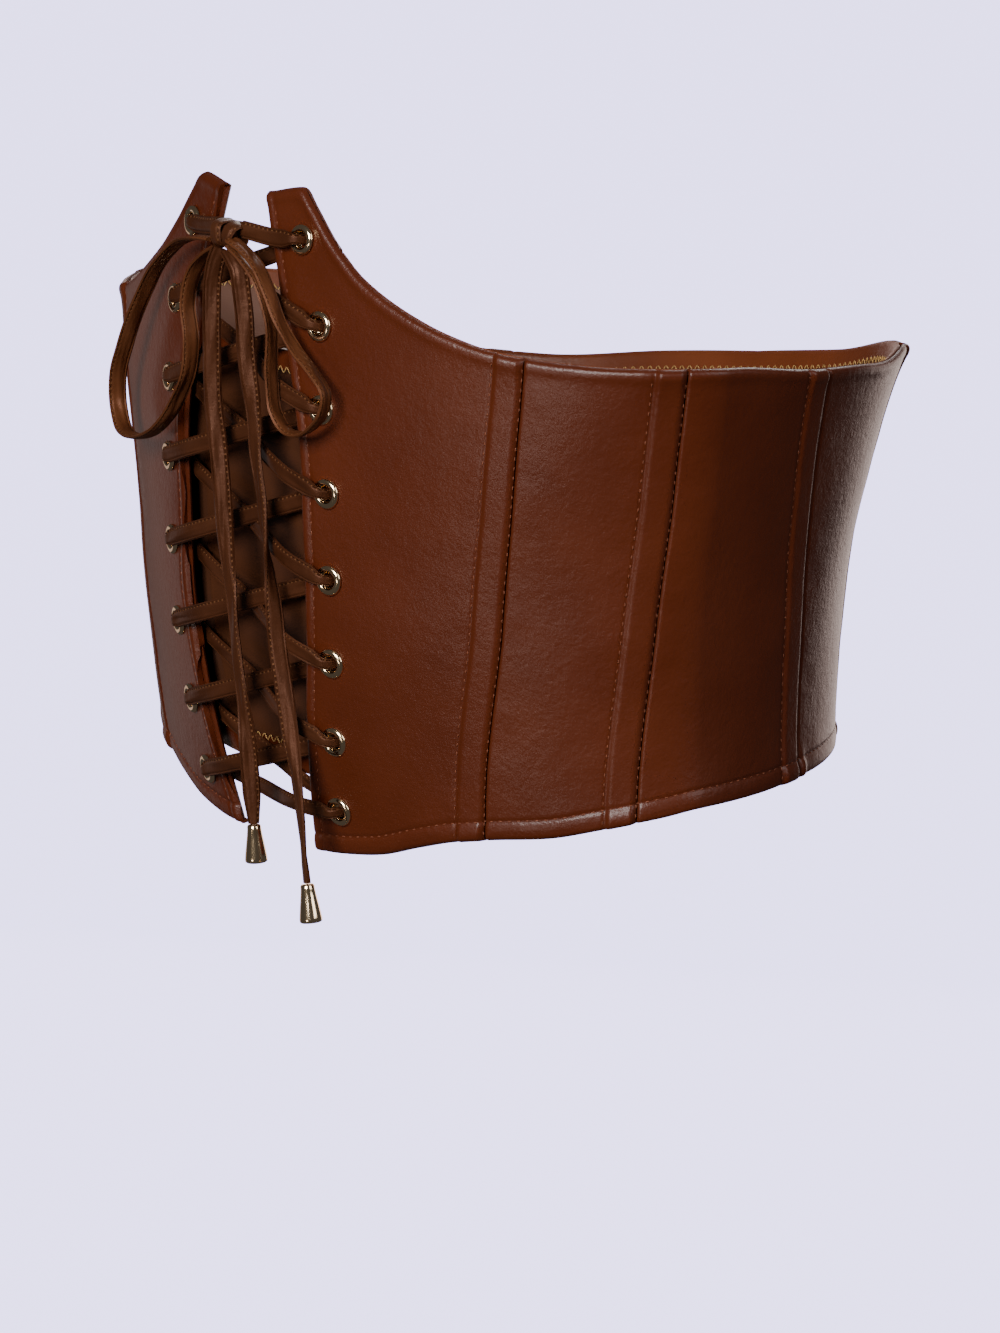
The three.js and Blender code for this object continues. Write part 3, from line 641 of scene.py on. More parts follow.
class Look:
    """A material under construction."""

    def __init__(self, name):
        self.material = bpy.data.materials.new(name)
        self.material.use_nodes = True
        self.tree = self.material.node_tree
        self.tree.nodes.clear()
        self.surface = self.tree.nodes.new("ShaderNodeBsdfPrincipled")
        output = self.tree.nodes.new("ShaderNodeOutputMaterial")
        self.tree.links.new(self.surface.outputs[0], output.inputs[0])

    def fill(self, node, inputs):
        for key, value in inputs.items():
            if isinstance(value, Value):
                self.tree.links.new(value.socket, node.inputs[key])
            else:
                node.inputs[key].default_value = value

    def node(self, kind, settings=None, inputs=None, output=0):
        """Adds a node: its settings first, then the values or links of its sockets."""
        node = self.tree.nodes.new(kind)
        for name, value in (settings or {}).items():
            if name == "stops":
                ramp = node.color_ramp
                while len(ramp.elements) < len(value):
                    ramp.elements.new(0.5)
                for element, (position, colour) in zip(ramp.elements, value):
                    element.position = position
                    element.color = colour
            else:
                setattr(node, name, value)
        self.fill(node, inputs or {})
        return Value(self, node.outputs[output])

    def object_place(self):
        return self.node("ShaderNodeTexCoord", output=OBJECT_PLACE)

    def uv(self):
        return self.node("ShaderNodeTexCoord", output=UV_PLACE)

    def noise(self, place, scale, detail=2, roughness=0.5):
        return self.node("ShaderNodeTexNoise", {}, {
            "Vector": place, "Scale": scale, "Detail": detail, "Roughness": roughness,
        })

    def ramp(self, value, stops):
        return self.node("ShaderNodeValToRGB", {"stops": stops}, {"Fac": value})

    def maths(self, operation, *values):
        return self.node("ShaderNodeMath", {"operation": operation}, dict(enumerate(values)))

    def blend(self, factor, first, second, kind="MIX"):
        """Mix of two colours."""
        return self.node(
            "ShaderNodeMix", {"data_type": "RGBA", "blend_type": kind},
            {MIX_FACTOR: factor, MIX_FIRST: first, MIX_SECOND: second}, output=MIX_COLOUR,
        )

    def part(self, vector, axis):
        return self.node("ShaderNodeSeparateXYZ", {}, {0: vector}, output=axis)

    def bumps(self, *layers):
        """Layers of fine relief, each a height with its strength and its distance."""
        inputs = {}
        for height, strength, distance in layers:
            inputs.update({"Height": height, "Strength": strength, "Distance": distance})
            inputs["Normal"] = relief = self.node("ShaderNodeBump", {}, inputs)
        return relief

    def finish(self, **sockets):
        for name, value in sockets.items():
            self.fill(self.surface, {name.replace("_", " ").title().replace("Ior", "IOR"): value})
        return self.material


def rgb(red, green, blue):
    return (red, green, blue, 1)


def grey_ramp(low, high, bottom=0.0, top=1.0):
    return [(low, rgb(bottom, bottom, bottom)), (high, rgb(top, top, top))]


# How fine each pattern is: its scale in object coordinates
LEATHER_CLOUDS = 22
LEATHER_WRINKLES = 260
LEATHER_CREASES = 620
LEATHER_GRAIN = 1500
LEATHER_PORES = 1900
THREAD_TWIST = 2600
SATIN_CLOUDS = 30
SATIN_WEAVE = 700
TAPE_CLOUDS = 90
TAPE_RUMPLES = 420
TAPE_WEAVE = 1700
BRASS_CLOUDS = 160
BRASS_MARKS = 900


def make_leather(name, deep, lit, gloss):
    """Smooth reddish-brown leather: fine grain, wrinkles, and slow changes of colour."""
    look = Look(name)
    place = look.object_place()
    cloud = look.noise(place, LEATHER_CLOUDS, 3, 0.55)
    grain = look.noise(place, LEATHER_GRAIN, 3, 0.6)
    pores = look.node(
        "ShaderNodeTexVoronoi", {"feature": "F1"}, {"Vector": place, "Scale": LEATHER_PORES},
    )
    colour = look.blend(look.ramp(cloud, grey_ramp(0.3, 0.7)), deep, lit)
    darker_pores = look.ramp(pores, grey_ramp(0.05, 0.35, 0.75, 1.0))
    creases = look.noise(place, LEATHER_CREASES, 3, 0.6)
    wrinkles = look.noise(place, LEATHER_WRINKLES, 4, 0.6)
    return look.finish(
        base_color=look.blend(0.5, colour, darker_pores, "MULTIPLY"),
        roughness=cloud * 0.12 + grain * 0.16 + gloss,
        normal=look.bumps(
            (grain, 0.16, 0.0002), (pores, 0.12, 0.0002),
            (creases, 0.3, 0.0004), (wrinkles, 0.2, 0.0008),
        ),
        specular_ior_level=0.3,
    )


def make_thread(name, colour):
    look = Look(name)
    twist = look.noise(look.object_place(), THREAD_TWIST, 2)
    return look.finish(
        base_color=look.blend(twist, rgb(*[c * 0.6 for c in colour]), rgb(*colour)),
        roughness=0.55,
        normal=look.bumps((twist, 0.3, 0.0001)),
        specular_ior_level=0.3,
    )


def make_satin(name, deep, lit):
    """Brown satin with a fine weave and a faint sheen."""
    look = Look(name)
    place = look.object_place()
    cloud = look.noise(place, SATIN_CLOUDS, 3)
    weave = look.node("ShaderNodeTexWave", {"wave_type": "BANDS", "bands_direction": "Z"}, {
        "Vector": place, "Scale": SATIN_WEAVE, "Distortion": 1.5, "Detail": 2,
    })
    return look.finish(
        base_color=look.blend(cloud, deep, lit),
        roughness=weave * 0.08 + 0.36,
        normal=look.bumps((weave, 0.1, 0.0002)),
        metallic=0.3,
        sheen_weight=0.05,
        sheen_roughness=0.4,
    )


# Points across each face of the tape, and where its stitched seam lies: among those points,
# and as a share of the width from the middle
FACE_POINTS = 15
SEAM_PLACE = 2.0
TAPE_SEAM = 0.36
# Ribs and stitches along the tape, in radians for each millimetre
RIB_BEAT = 16.0
STITCH_BEAT = 3.9


def make_tape(name, deep, lit):
    """Satin lace tape: a woven sheen, a fold line darkened with painted shade and a row of dotted
    stitches along one side.
    """
    look = Look(name)
    uv = look.uv()
    along = look.part(uv, 0)
    around = look.part(uv, 1)
    place = look.object_place()
    cloud = look.noise(place, TAPE_CLOUDS, 3)
    ribs = look.maths("SINE", along * RIB_BEAT)
    across = look.maths("PINGPONG", around, FACE_POINTS - 1.0)
    seam = look.ramp(look.maths("ABSOLUTE", across - SEAM_PLACE), grey_ramp(0.35, 0.8, 1.0, 0.0))
    stitch = seam * look.ramp(look.maths("SINE", along * STITCH_BEAT), grey_ramp(0.35, 0.6))
    colour = look.blend(cloud, deep, lit)
    # Painted shade: the seam line, where the tape is pinched, is darkened halfway to its deep colour
    colour = look.blend(seam * 0.5, colour, deep)
    colour = look.blend(stitch * 0.5, colour, rgb(0.19, 0.08, 0.033))
    rumples = look.noise(place, TAPE_RUMPLES, 3)
    weave = look.noise(place, TAPE_WEAVE, 2)
    return look.finish(
        base_color=colour,
        roughness=cloud * 0.2 + 0.34,
        specular_ior_level=0.3,
        specular_tint=rgb(1, 0.52, 0.36),
        normal=look.bumps(
            (ribs, 0.06, 0.0002), (stitch, 0.6, 0.0003), (rumples, 0.3, 0.0005),
            (weave, 0.2, 0.0002),
        ),
    )


def make_brass(name):
    """Polished pale brass with faint handling marks."""
    look = Look(name)
    place = look.object_place()
    marks = look.noise(place, BRASS_MARKS, 4, 0.7)
    cloud = look.noise(place, BRASS_CLOUDS, 2)
    return look.finish(
        base_color=look.blend(cloud, rgb(0.93, 0.66, 0.38), rgb(1.0, 0.79, 0.52)),
        metallic=1.0,
        roughness=marks * 0.08 + 0.09,
        normal=look.bumps((marks, 0.03, 0.0001)),
    )


# Each colour is given at its deepest and at its lightest
leather = make_leather("reddish_leather", rgb(0.056, 0.0098, 0.0027), rgb(0.074, 0.0142, 0.004), 0.22)
facing_leather = make_leather(
    "facing_leather", rgb(0.085, 0.018, 0.0045), rgb(0.13, 0.031, 0.0085), 0.3,
)
seam_thread = make_thread("seam_thread", (0.2, 0.06, 0.028))
gold_thread = make_thread("overlock_thread", (0.45, 0.26, 0.09))
satin = make_satin("lining_satin", rgb(0.06, 0.02, 0.009), rgb(0.12, 0.042, 0.016))
flap_satin = make_satin("flap_satin", rgb(0.05, 0.0145, 0.0052), rgb(0.085, 0.027, 0.0095))
tape = make_tape("lace_tape", rgb(0.02, 0.0055, 0.002), rgb(0.057, 0.0185, 0.0078))
# Painted light: the bow's loops are the same tape as the lace, given lighter colours for the light
# that falls on them
bow_tape_painted_light = make_tape("bow_tape_painted_light", rgb(0.036, 0.0105, 0.0037), rgb(0.105, 0.035, 0.0135))
brass = make_brass("pale_brass")

# Eyelet places

SIDES = (("left", 1), ("right", -1))


class EyeletPlace:
    """Middle of an eyelet on the outer surface, with the ways that are up and outward there."""

    def __init__(self, row, side):
        down, inset = EYELET_ROWS[row]
        self.side = side
        self.height = FIRST_EYELET - down * EYELET_RUN
        self.set_back = inset * EYELET_INSET
        edge = line_at(EDGE)(self.height)
        self.turn = float(step_to_front(edge, self.height, -self.set_back))
        self.flip = np.array([side, 1, 1])
        centre = outline_point(self.turn, self.height)
        up = up_tangent(self.turn, self.height)
        outward = np.cross(turn_tangent(self.turn, self.height), up)
        outward /= np.linalg.norm(outward)
        if outward @ np.array([centre[0], centre[1] + WIDEST_LINE_FORWARD, 0]) < 0:
            outward = -outward
        self.centre = centre * self.flip
        self.up = up * self.flip
        self.outward = outward * self.flip

    def point_at(self, to_edge, off, up):
        """Point at a distance towards the edge, off the surface and up from the middle."""
        level = self.height + up
        turn = step_to_front(self.turn, level, to_edge)
        return wall_point(turn, level, off) * self.flip


EYELETS = {
    side: [EyeletPlace(row, sign) for row in range(len(EYELET_ROWS))] for side, sign in SIDES
}


def near_eyelets(side, reach):
    """Test for points that lie within a reach of an eyelet's axis."""
    def test(points):
        marks = np.zeros(len(points), bool)
        for place in EYELETS[side]:
            away = points - place.centre
            away -= np.outer(away @ place.outward, place.outward)
            marks |= np.linalg.norm(away, axis=1) < reach
        return marks
    return test


# Leather panels

# Sizes of a face in millimetres: near a rim or a seam, elsewhere, and on the lining
FINE = 0.4
COARSE = 0.85
LINING_FACE = 2.2
# Heights that the rows of faces are shared over, at the front and at the sides
FRONT_TALL = 170
SIDE_TALL = 125


def spaced(length, fine_from, fine_to):
    """Shares of a length, close together within a distance of its start and its end."""
    places = [0.0]
    while places[-1] < length:
        here = places[-1]
        near_end = here < fine_from or here > length - fine_to
        places.append(here + (FINE if near_end else COARSE))
    return np.array(places) / places[-1]


def run_length(line_from, line_to, height=0.0):
    turns = np.linspace(float(line_from(height)), float(line_to(height)), 40)
    points = outline_point(turns, height)
    return np.linalg.norm(np.diff(points, axis=0), axis=1).sum()


def wall_sheet(name, side, line_from, line_to, shares, rises, low, high, depth_at):
    """Sheet of the wall as a grid. depth_at takes turn and height."""
    obj, column, row = new_grid(name, len(shares) - 1, len(rises) - 1)
    turn, height = spread(side, line_from, line_to, shares[column], rises[row], low, high)
    set_places(obj, wall_point(turn, height, depth_at(turn, height)))
    in_edit_mode(obj, faces_out)
    point_outwards(obj)
    return obj


def point_outwards(obj):
    """Turns an open sheet over when its faces look into the waist."""
    centres = face_values(obj, "center") * np.array([1, 1, 0])
    if (centres * face_values(obj, "normal")).sum() < 0:
        in_edit_mode(obj, lambda: (
            bpy.ops.mesh.select_all(action="SELECT"), bpy.ops.mesh.flip_normals(),
        ))


def rows_for(length):
    return spaced(length, 7, 4)


PANELS = [
    ("front", EDGE, SEAM_1),
    ("side_front", SEAM_1, SEAM_2),
    ("side", SEAM_2, SEAM_3),
    ("side_back", SEAM_3, SEAM_4),
    ("back", SEAM_4, None),
]
CHANNELS = {"front": "front", "side_front": "side_front", "side": "side", "side_back": "back"}
EDGE_PULL = {1: 0.4, -1: 2.0}


def front_edge(sign):
    """Front edge of a side. The lace draws it in unevenly, most of all on the right."""
    def line(height):
        pull = EDGE_PULL[sign] * (wobble(height * 0.62, 2.4) - 0.3)
        return step_to_front(line_at(EDGE)(height), height, pull)
    return line


def make_panels():
    for name, first, last in PANELS:
        start = line_at(first) if first == EDGE else shifted_line(line_at(first), -SEAM_GAP / 2)
        end = shifted_line(line_at(last), SEAM_GAP / 2) if last else lambda height: -1 + 0 * height
        length = run_length(start, end)
        shares = spaced(length, 5, 11 if last else 0)
        if first == EDGE:
            corner = (start(PEAK_HEIGHT) - PEAK_CORNER) / (start(PEAK_HEIGHT) - end(PEAK_HEIGHT))
            nearest = np.abs(shares - corner).argmin()
            shares[nearest] = corner
        rises = rows_for(FRONT_TALL if first == EDGE else SIDE_TALL)
        for side, sign in SIDES:
            obj = wall_sheet(
                f"{name}_leather_{side}", sign, front_edge(sign) if first == EDGE else start,
                end, shares, rises, hem_height, top_height, leather_relief,
            )
            if first == EDGE:
                delete_faces(obj, near_eyelets(side, EYELET_BARREL + 0.1))
            thicken(obj, LEATHER, -1)
            shade(obj, 60)
            nodes = [f"{name}_panel_{side}"]
            if last:
                nodes.append(f"{CHANNELS[name]}_channel_{side}")
            settle(obj, leather, nodes)


# Stitches


def stitch_model():
    deselect_all()
    bpy.ops.mesh.primitive_uv_sphere_add(segments=6, ring_count=5, radius=1)
    obj = bpy.context.object
    obj.name = "stitch_model"
    return obj


def stitch_matrix(place, along, outward, length, thickness):
    """Places the stitch with its length along the seam, in millimetres."""
    along = along / np.linalg.norm(along)
    outward = outward - along * (outward @ along)
    outward /= np.linalg.norm(outward)
    across = np.cross(outward, along)
    matrix = np.eye(4)
    matrix[:3, 0] = across * thickness
    matrix[:3, 1] = outward * thickness * 0.8
    matrix[:3, 2] = along * length / 2
    matrix[:3, 3] = place
    return matrix


def walk(points):
    """Walked length at each point of a line."""
    return np.concatenate([[0], np.cumsum(np.linalg.norm(np.diff(points, axis=0), axis=1))])


def values_at(at, walked, values):
    return np.array([np.interp(at, walked, values[:, axis]) for axis in range(3)])


def stitches_along(points, outwards):
    """Matrices of stitches at an even pitch along a line of points."""
    walked = walk(points)
    matrices = []
    for k in range(int(walked[-1] / STITCH_PITCH)):
        at = (k + 0.5) * STITCH_PITCH
        along = values_at(at + 0.6, walked, points) - values_at(at - 0.6, walked, points)
        matrices.append(stitch_matrix(
            values_at(at, walked, points), along, values_at(at, walked, outwards),
            STITCH_LENGTH, STITCH_THICKNESS,
        ))
    return matrices


def sew(name, matrices, thread):
    """Makes all the stitches of a seam as one piece."""
    model = stitch_model()
    obj = repeat(name, model, matrices)
    shade(obj, 80)
    settle(obj, thread)
    remove(model)


def surface_line(turn, height, lift):
    """Points just above the leather along a line, with their outward ways."""
    depth = leather_relief(turn, height) + lift
    points = wall_point(turn, height, depth)
    return points, wall_point(turn, height, depth + 1) - points


# Points that carry a row of stitches, up a seam, along the hem and round the inside
SEAM_POINTS = 220
HEM_POINTS = 600
OVERLOCK_POINTS = 900


def make_stitches():
    upright = [(shifted_line(seam, CHANNEL_END + 0.2), 1, 1) for seam in SEAM_LINES]
    upright += [(shifted_line(seam, 0.25), 1, 1) for seam in SEAM_LINES]
    upright.append((shifted_line(line_at(EDGE), -EDGE_STITCH), HEM_STITCH, 3))
    for side, sign in SIDES:
        rows = []
        for line, foot, head in upright:
            rows.append(spread(
                sign, line, line, np.zeros(SEAM_POINTS), np.linspace(0, 1, SEAM_POINTS),
                lambda turn: hem_height(turn) + foot, lambda turn: top_height(turn) - head,
            ))
        hem_turn = on_side(np.linspace(-0.999, 0.87, HEM_POINTS), sign)
        rows.append((hem_turn, hem_height(hem_turn) + HEM_STITCH))
        matrices = []
        for turn, height in rows:
            matrices += stitches_along(*surface_line(turn, height, STITCH_LIFT))
        sew(f"stitching_{side}", matrices, seam_thread)


# Inside: facings, lining and overlock

LINING_CLOTH = 0.5
LINING_LIFT = 0.3
LINING_TUCK = 0.6
FOLD_DEPTH = 0.9
FOLD_START = 14


def soft_folds(turn, height):
    """Folds of the lining, towards the waist."""
    up = height / 10
    return (
        0.5 * np.sin(turn * 21 + 0.9 * np.sin(up * 1.1))
        + 0.35 * np.sin(turn * 37 + up * 0.7 + 1.3)
        + 0.35 * np.sin(up * 1.9 + turn * 8)
    )


def rim_roll(turn, height):
    """How far a facing's rims have rolled out of the waist."""
    from_top = roll(top_height(turn) - height, FACING_ROLL)
    return from_top + roll(height - hem_height(turn), FACING_ROLL)


def top_foot(turn):
    return top_height(turn) - TOP_FACING


def hem_head(turn):
    return hem_height(turn) + HEM_FACING


def make_front_facings():
    edge = line_at(EDGE)
    shares = spaced(FACING_WIDTH, 3, 3)

    def facing_depth(turn, height):
        from_rim = np.minimum(top_height(turn) - height, height - hem_height(turn))
        to_edge = (edge(height) - folded(turn)) * length_per_turn(turn, height)
        return -WALL + roll(from_rim, FACING_ROLL) + roll(to_edge, FACING_ROLL)

    for side, sign in SIDES:
        obj = wall_sheet(
            f"eyelet_facing_{side}", sign, edge, shifted_line(edge, -FACING_WIDTH), shares,
            rows_for(FRONT_TALL), hem_height, top_height, facing_depth,
        )
        delete_faces(obj, near_eyelets(side, EYELET_BARREL + 0.2))
        thicken(obj, WALL - LEATHER, 1)
        shade(obj, 60)
        settle(obj, leather, [f"front_facing_{side}"])


def make_lining():
    """Lining from one front facing round to the other, with a facing along each rim."""
    start = shifted_line(shifted_line(line_at(EDGE), -FACING_WIDTH), -LINING_SET_BACK)

    def end(height):
        return -2 - start(height)

    shares = np.linspace(0, 1, int(run_length(start, end) / LINING_FACE))
    strips = (("top_facing", top_foot, top_height, 9), ("hem_facing", hem_height, hem_head, 11))
    for node, low, high, rows in strips:
        obj = wall_sheet(
            f"{node}_strip", 1, start, end, shares, np.linspace(0, 1, rows), low, high,
            lambda turn, height: -WALL + rim_roll(turn, height),
        )
        thicken(obj, WALL - LEATHER, 1)
        shade(obj, 60)
        settle(obj, facing_leather, [node])

    def lining_depth(turn, height):
        from_rim = np.minimum(top_foot(turn) - height, height - hem_head(turn))
        fullness = FOLD_DEPTH * smooth_step(0, FOLD_START, from_rim)
        return -WALL + LINING_LIFT - (1 + soft_folds(turn, height)) * fullness

    obj = wall_sheet(
        "satin_lining", 1, start, end, shares, np.linspace(0, 1, 64),
        lambda turn: hem_head(turn) - LINING_TUCK, lambda turn: top_foot(turn) + LINING_TUCK,
        lining_depth,
    )
    thicken(obj, LINING_CLOTH, 1)
    shade(obj, 80)
    settle(obj, satin, ["lining"])

    turns = np.linspace(float(start(20.0)), float(end(20.0)), OVERLOCK_POINTS)
    matrices = []
    for rim, way in ((top_foot, -1), (hem_head, 1)):
        middle = wall_point(turns, rim(turns), np.full(turns.shape, -WALL - 0.1))
        inner = wall_point(turns, rim(turns), np.full(turns.shape, -WALL - 1.1))
        matrices += overlock(middle, inner, way)
    sew("overlock_edges", matrices, gold_thread)


def overlock(middle, inner, way):
    """Zigzag of slanted stitches over a facing's edge, from points on it and just above it."""
    walked = walk(middle)
    matrices = []
    for k in range(int(walked[-1] / OVERLOCK_PITCH)):
        at = (k + 0.5) * OVERLOCK_PITCH
        here = values_at(at, walked, middle)
        ahead = values_at(at + 1, walked, middle) - here
        slant = ahead * (OVERLOCK_SLANT if k % 2 else -OVERLOCK_SLANT) + np.array([0, 0, way])
        matrices.append(stitch_matrix(
            here, slant, values_at(at, walked, inner - middle), OVERLOCK_LENGTH, OVERLOCK_THICKNESS,
        ))
    return matrices


# Flap behind the lacing

# Share of the flap's width at each of the points of flap_line
FLAP_SHARES = np.array([0.0, 0.09, 0.72, 0.8, 0.89, 0.93, 1.0])
FLAP_COLUMNS = 150
FLAP_ROWS = 110
STRIP_ROWS = 8
FLAP_SAG = 0.6
FLAP_CREASE = 0.22


def flap_line(height, off):
    """Points across the flap at a height, from its loose edge to its seam."""
    clear_of_lace = INSIDE_DEPTH + LACE_THICKNESS / 2 + CROSSING_SHIFT + FIT_GAP
    against_facing = WALL + FIT_GAP
    places = (
        (1, FLAP_LOOSE_REACH, clear_of_lace), (1, 0, clear_of_lace), (-1, 0, clear_of_lace),
        (-1, FLAP_BEND_START / 2, clear_of_lace), (-1, FLAP_BEND_START, clear_of_lace),
        (-1, FLAP_SEAM_START, against_facing), (-1, FLAP_SEAM_END, against_facing),
    )
    points = []
    for sign, past, depth in places:
        turn = step_to_front(line_at(EDGE)(height), height, -past)
        points.append(wall_point(turn, height, off - depth) * np.array([sign, 1, 1]))
    return np.array(points)


def flap_sheet(name, low, high, rows, off, thickness, creased, material, nodes=()):
    """Sheet that follows the flap between two heights."""
    obj, column, row = new_grid(name, FLAP_COLUMNS, rows)
    shares = np.linspace(0, 1, FLAP_COLUMNS + 1)
    slack = smooth_step(0.05, 0.2, shares) * (1 - smooth_step(0.68, 0.8, shares))
    places = np.zeros((rows + 1, FLAP_COLUMNS + 1, 3))
    for k, height in enumerate(np.linspace(low, high, rows + 1)):
        line = flap_line(height, off)
        for axis in range(3):
            places[k, :, axis] = np.interp(shares, FLAP_SHARES, line[:, axis])
        crease = np.sin(height / 4.1 + shares * 5) + 0.7 * np.sin(height / 2.3 - shares * 13 + 1)
        crease += 0.8 * np.sin(shares * 17 + height / 15)
        places[k, :, 1] += creased * slack * (FLAP_SAG + FLAP_CREASE * crease)
    set_places(obj, places[row, column])
    point_outwards(obj)
    thicken(obj, thickness, -1)
    shade(obj, 60)
    settle(obj, material, nodes)


def make_flap():
    flap_sheet(
        "flap_cloth", FLAP_FOOT, FLAP_HEAD, FLAP_ROWS, 0, FLAP_THICKNESS, 1, flap_satin,
        ["lacing_flap"],
    )
    head_edge = FLAP_HEAD - TOP_FACING
    foot_edge = FLAP_FOOT + HEM_FACING
    strips = (
        ("flap_head_strip", head_edge, FLAP_HEAD + FLAP_STRIP_OVERHANG),
        ("flap_foot_strip", FLAP_FOOT - FLAP_STRIP_OVERHANG, foot_edge),
    )
    for name, low, high in strips:
        flap_sheet(
            name, low, high, STRIP_ROWS, FLAP_STRIP_OFF, FLAP_THICKNESS + 2 * FLAP_STRIP_OFF,
            0, leather,
        )
    matrices = []
    for height, way in ((head_edge, -1), (foot_edge, 1)):
        middle = flap_line(height, FLAP_STRIP_OFF)
        matrices += overlock(middle, flap_line(height, FLAP_STRIP_OFF + 1), way)
    sew("flap_overlock", matrices, gold_thread)


# Eyelets and cord ends


def make_eyelets():
    back = -WALL - FIT_GAP
    end = back - BACK_FLANGE_THICKNESS
    ring = [
        (EYELET_BORE + 0.05, end), (EYELET_BACK_FLANGE - 0.4, end),
        (EYELET_BACK_FLANGE, back - 0.2), (EYELET_BACK_FLANGE, back),
        (EYELET_BARREL, back), (EYELET_BARREL, 0.1), (EYELET_FLANGE - 0.2, 0.05),
    ]
    middle = (EYELET_FLANGE + EYELET_BORE) / 2
    half = (EYELET_FLANGE - EYELET_BORE) / 2
    for k in range(9):
        angle = math.pi * k / 8
        rise = 1.15 * math.sin(angle) * FLANGE_THICKNESS
        ring.append((middle + half * math.cos(angle), FIT_GAP * 0.4 + rise))
    ring += [(EYELET_BORE, 0.0), (EYELET_BORE, end + 0.2), ring[0]]
    model = turned("eyelet_model", ring, 40)
    shade(model, 50)
    for side, _ in SIDES:
        for row, place in enumerate(EYELETS[side]):
            obj = add_object(f"brass_ring_{side}_{row + 1}", model.data.copy())
            place_mesh(obj, facing_matrix(place.centre, place.outward))
            settle(obj, brass, [f"eyelet_{side}_{row + 1}"])
    remove(model)


def make_cord_end(side, route):
    """Bell-shaped metal end, clamped on the lace where its route ends."""
    foot = np.array(route[-1][:3])
    way = np.array(route[-2][:3]) - foot
    way /= np.linalg.norm(way)
    half = CORD_END_LENGTH / 2
    bell = [
        (0.02, half - 0.2), (CORD_END_TOP * 0.62, half), (CORD_END_TOP - 0.25, half - 0.12),
        (CORD_END_TOP, half - 0.5), (CORD_END_TOP * 1.02, half - 1.4),
        (CORD_END_TOP * 1.12, half - 3.0), (CORD_END_TOP * 1.3, half - 5.2),
        (CORD_END_BOTTOM * 0.93, -half + 2.6), (CORD_END_BOTTOM * 0.98, -half + 1.4),
        (CORD_END_BOTTOM, -half + 0.8), (CORD_END_BOTTOM - 0.1, -half + 0.25),
        (CORD_END_BOTTOM - 0.45, -half), (CORD_END_BOTTOM - 0.8, -half + 0.15),
        (CORD_END_BOTTOM - 0.95, -half + 1.2), (0.02, -half + 1.6),
    ]
    obj = turned(f"brass_bell_{side}", bell, 36)
    shade(obj, 40)
    place_mesh(obj, facing_matrix(foot - way * (half + FIT_GAP), way))
    settle(obj, brass, [f"cord_end_{side}"])
    return obj


# Lace

# Bands of the knot: slant in degrees, how far aside, half depth, half height, and how round its
# path is, where 1 is an ellipse and less is squarer
KNOT_BANDS = ((3, -1.5, 3.5, 3.1, 0.55), (-16, 2.9, 3.0, 3.5, 1.0))


def tape_section():
    """Section of the tape: shares across and through, up one face and down the other."""
    across = np.linspace(0.5, -0.5, FACE_POINTS)
    rounded = np.sqrt(np.maximum(1 - (np.abs(across) / 0.5) ** 5, 0)) / 2
    pinched = rounded * (1 - 0.5 * hump(np.abs(across) - TAPE_SEAM, 0.045))
    u = np.concatenate([across, across[-2:0:-1]])
    v = np.concatenate([pinched, -pinched[-2:0:-1]])
    return np.append(u, u[0]), np.append(v, v[0])


def tape_body(name, stations, step=1.2):
    """Flat tape through stations (point, across, width, thickness), with its middle line."""
    points = np.array([s[0] for s in stations], float)
    across = np.array([s[1] for s in stations], float)
    across /= np.linalg.norm(across, axis=1, keepdims=True)
    sizes = np.array([[s[2], s[3]] for s in stations], float)
    walked = walk(points)
    count = max(8, int(walked[-1] / step))
    at = np.linspace(0, walked[-1], count)
    middle = smooth_curve(walked, points, at)
    wide = smooth_curve(walked, across, at)
    size = np.stack([np.interp(at, walked, sizes[:, k]) for k in range(2)], axis=1)
    along = np.gradient(middle, axis=0)
    along /= np.linalg.norm(along, axis=1, keepdims=True)
    wide -= along * (wide * along).sum(axis=1, keepdims=True)
    wide /= np.linalg.norm(wide, axis=1, keepdims=True)
    facing = np.cross(along, wide)
    section_u, section_v = tape_section()
    around = len(section_u) - 1
    obj, column, row = new_grid(name, count - 1, around)
    u, v = section_u[row], section_v[row]
    here = at[column]
    flatness = smooth_step(BUNCHED_WIDTH, LACE_WIDTH, size[column, 0])
    cup = 0.2 * np.sin(here / 7.1) * (4 * u * u - 0.4) + 0.14 * np.sin(here / 3.3 + 6 * u)
    fold = 0.22 * hump(u + 0.1 + 0.12 * np.sin(here / 13), 0.09) * (0.5 + 0.5 * np.sin(here / 9.7))
    places = (
        middle[column]
        + wide[column] * (u * size[column, 0])[:, None]
        + facing[column] * (v * size[column, 1] + (cup - fold) * flatness)[:, None]
    )
    set_places(obj, places)
    stretch_uv(obj, walked[-1], around)
    close_tube(obj)
    shade(obj, 50)
    return obj, middle


def smooth_curve(walked, values, at):
    """Smooth curve through values, each at its walked length."""
    tangents = np.gradient(values, walked, axis=0)
    row = np.clip(np.searchsorted(walked, at) - 1, 0, len(walked) - 2)
    span = (walked[row + 1] - walked[row])[:, None]
    t = (at - walked[row])[:, None] / span
    return hermite(t, span, values[row], tangents[row], values[row + 1], tangents[row + 1])


def flat(point, across):
    """Station where the tape lies at its full width."""
    return (point, across, LACE_WIDTH, LACE_THICKNESS)


UPRIGHT = np.array([0.0, 0.0, 1.0])


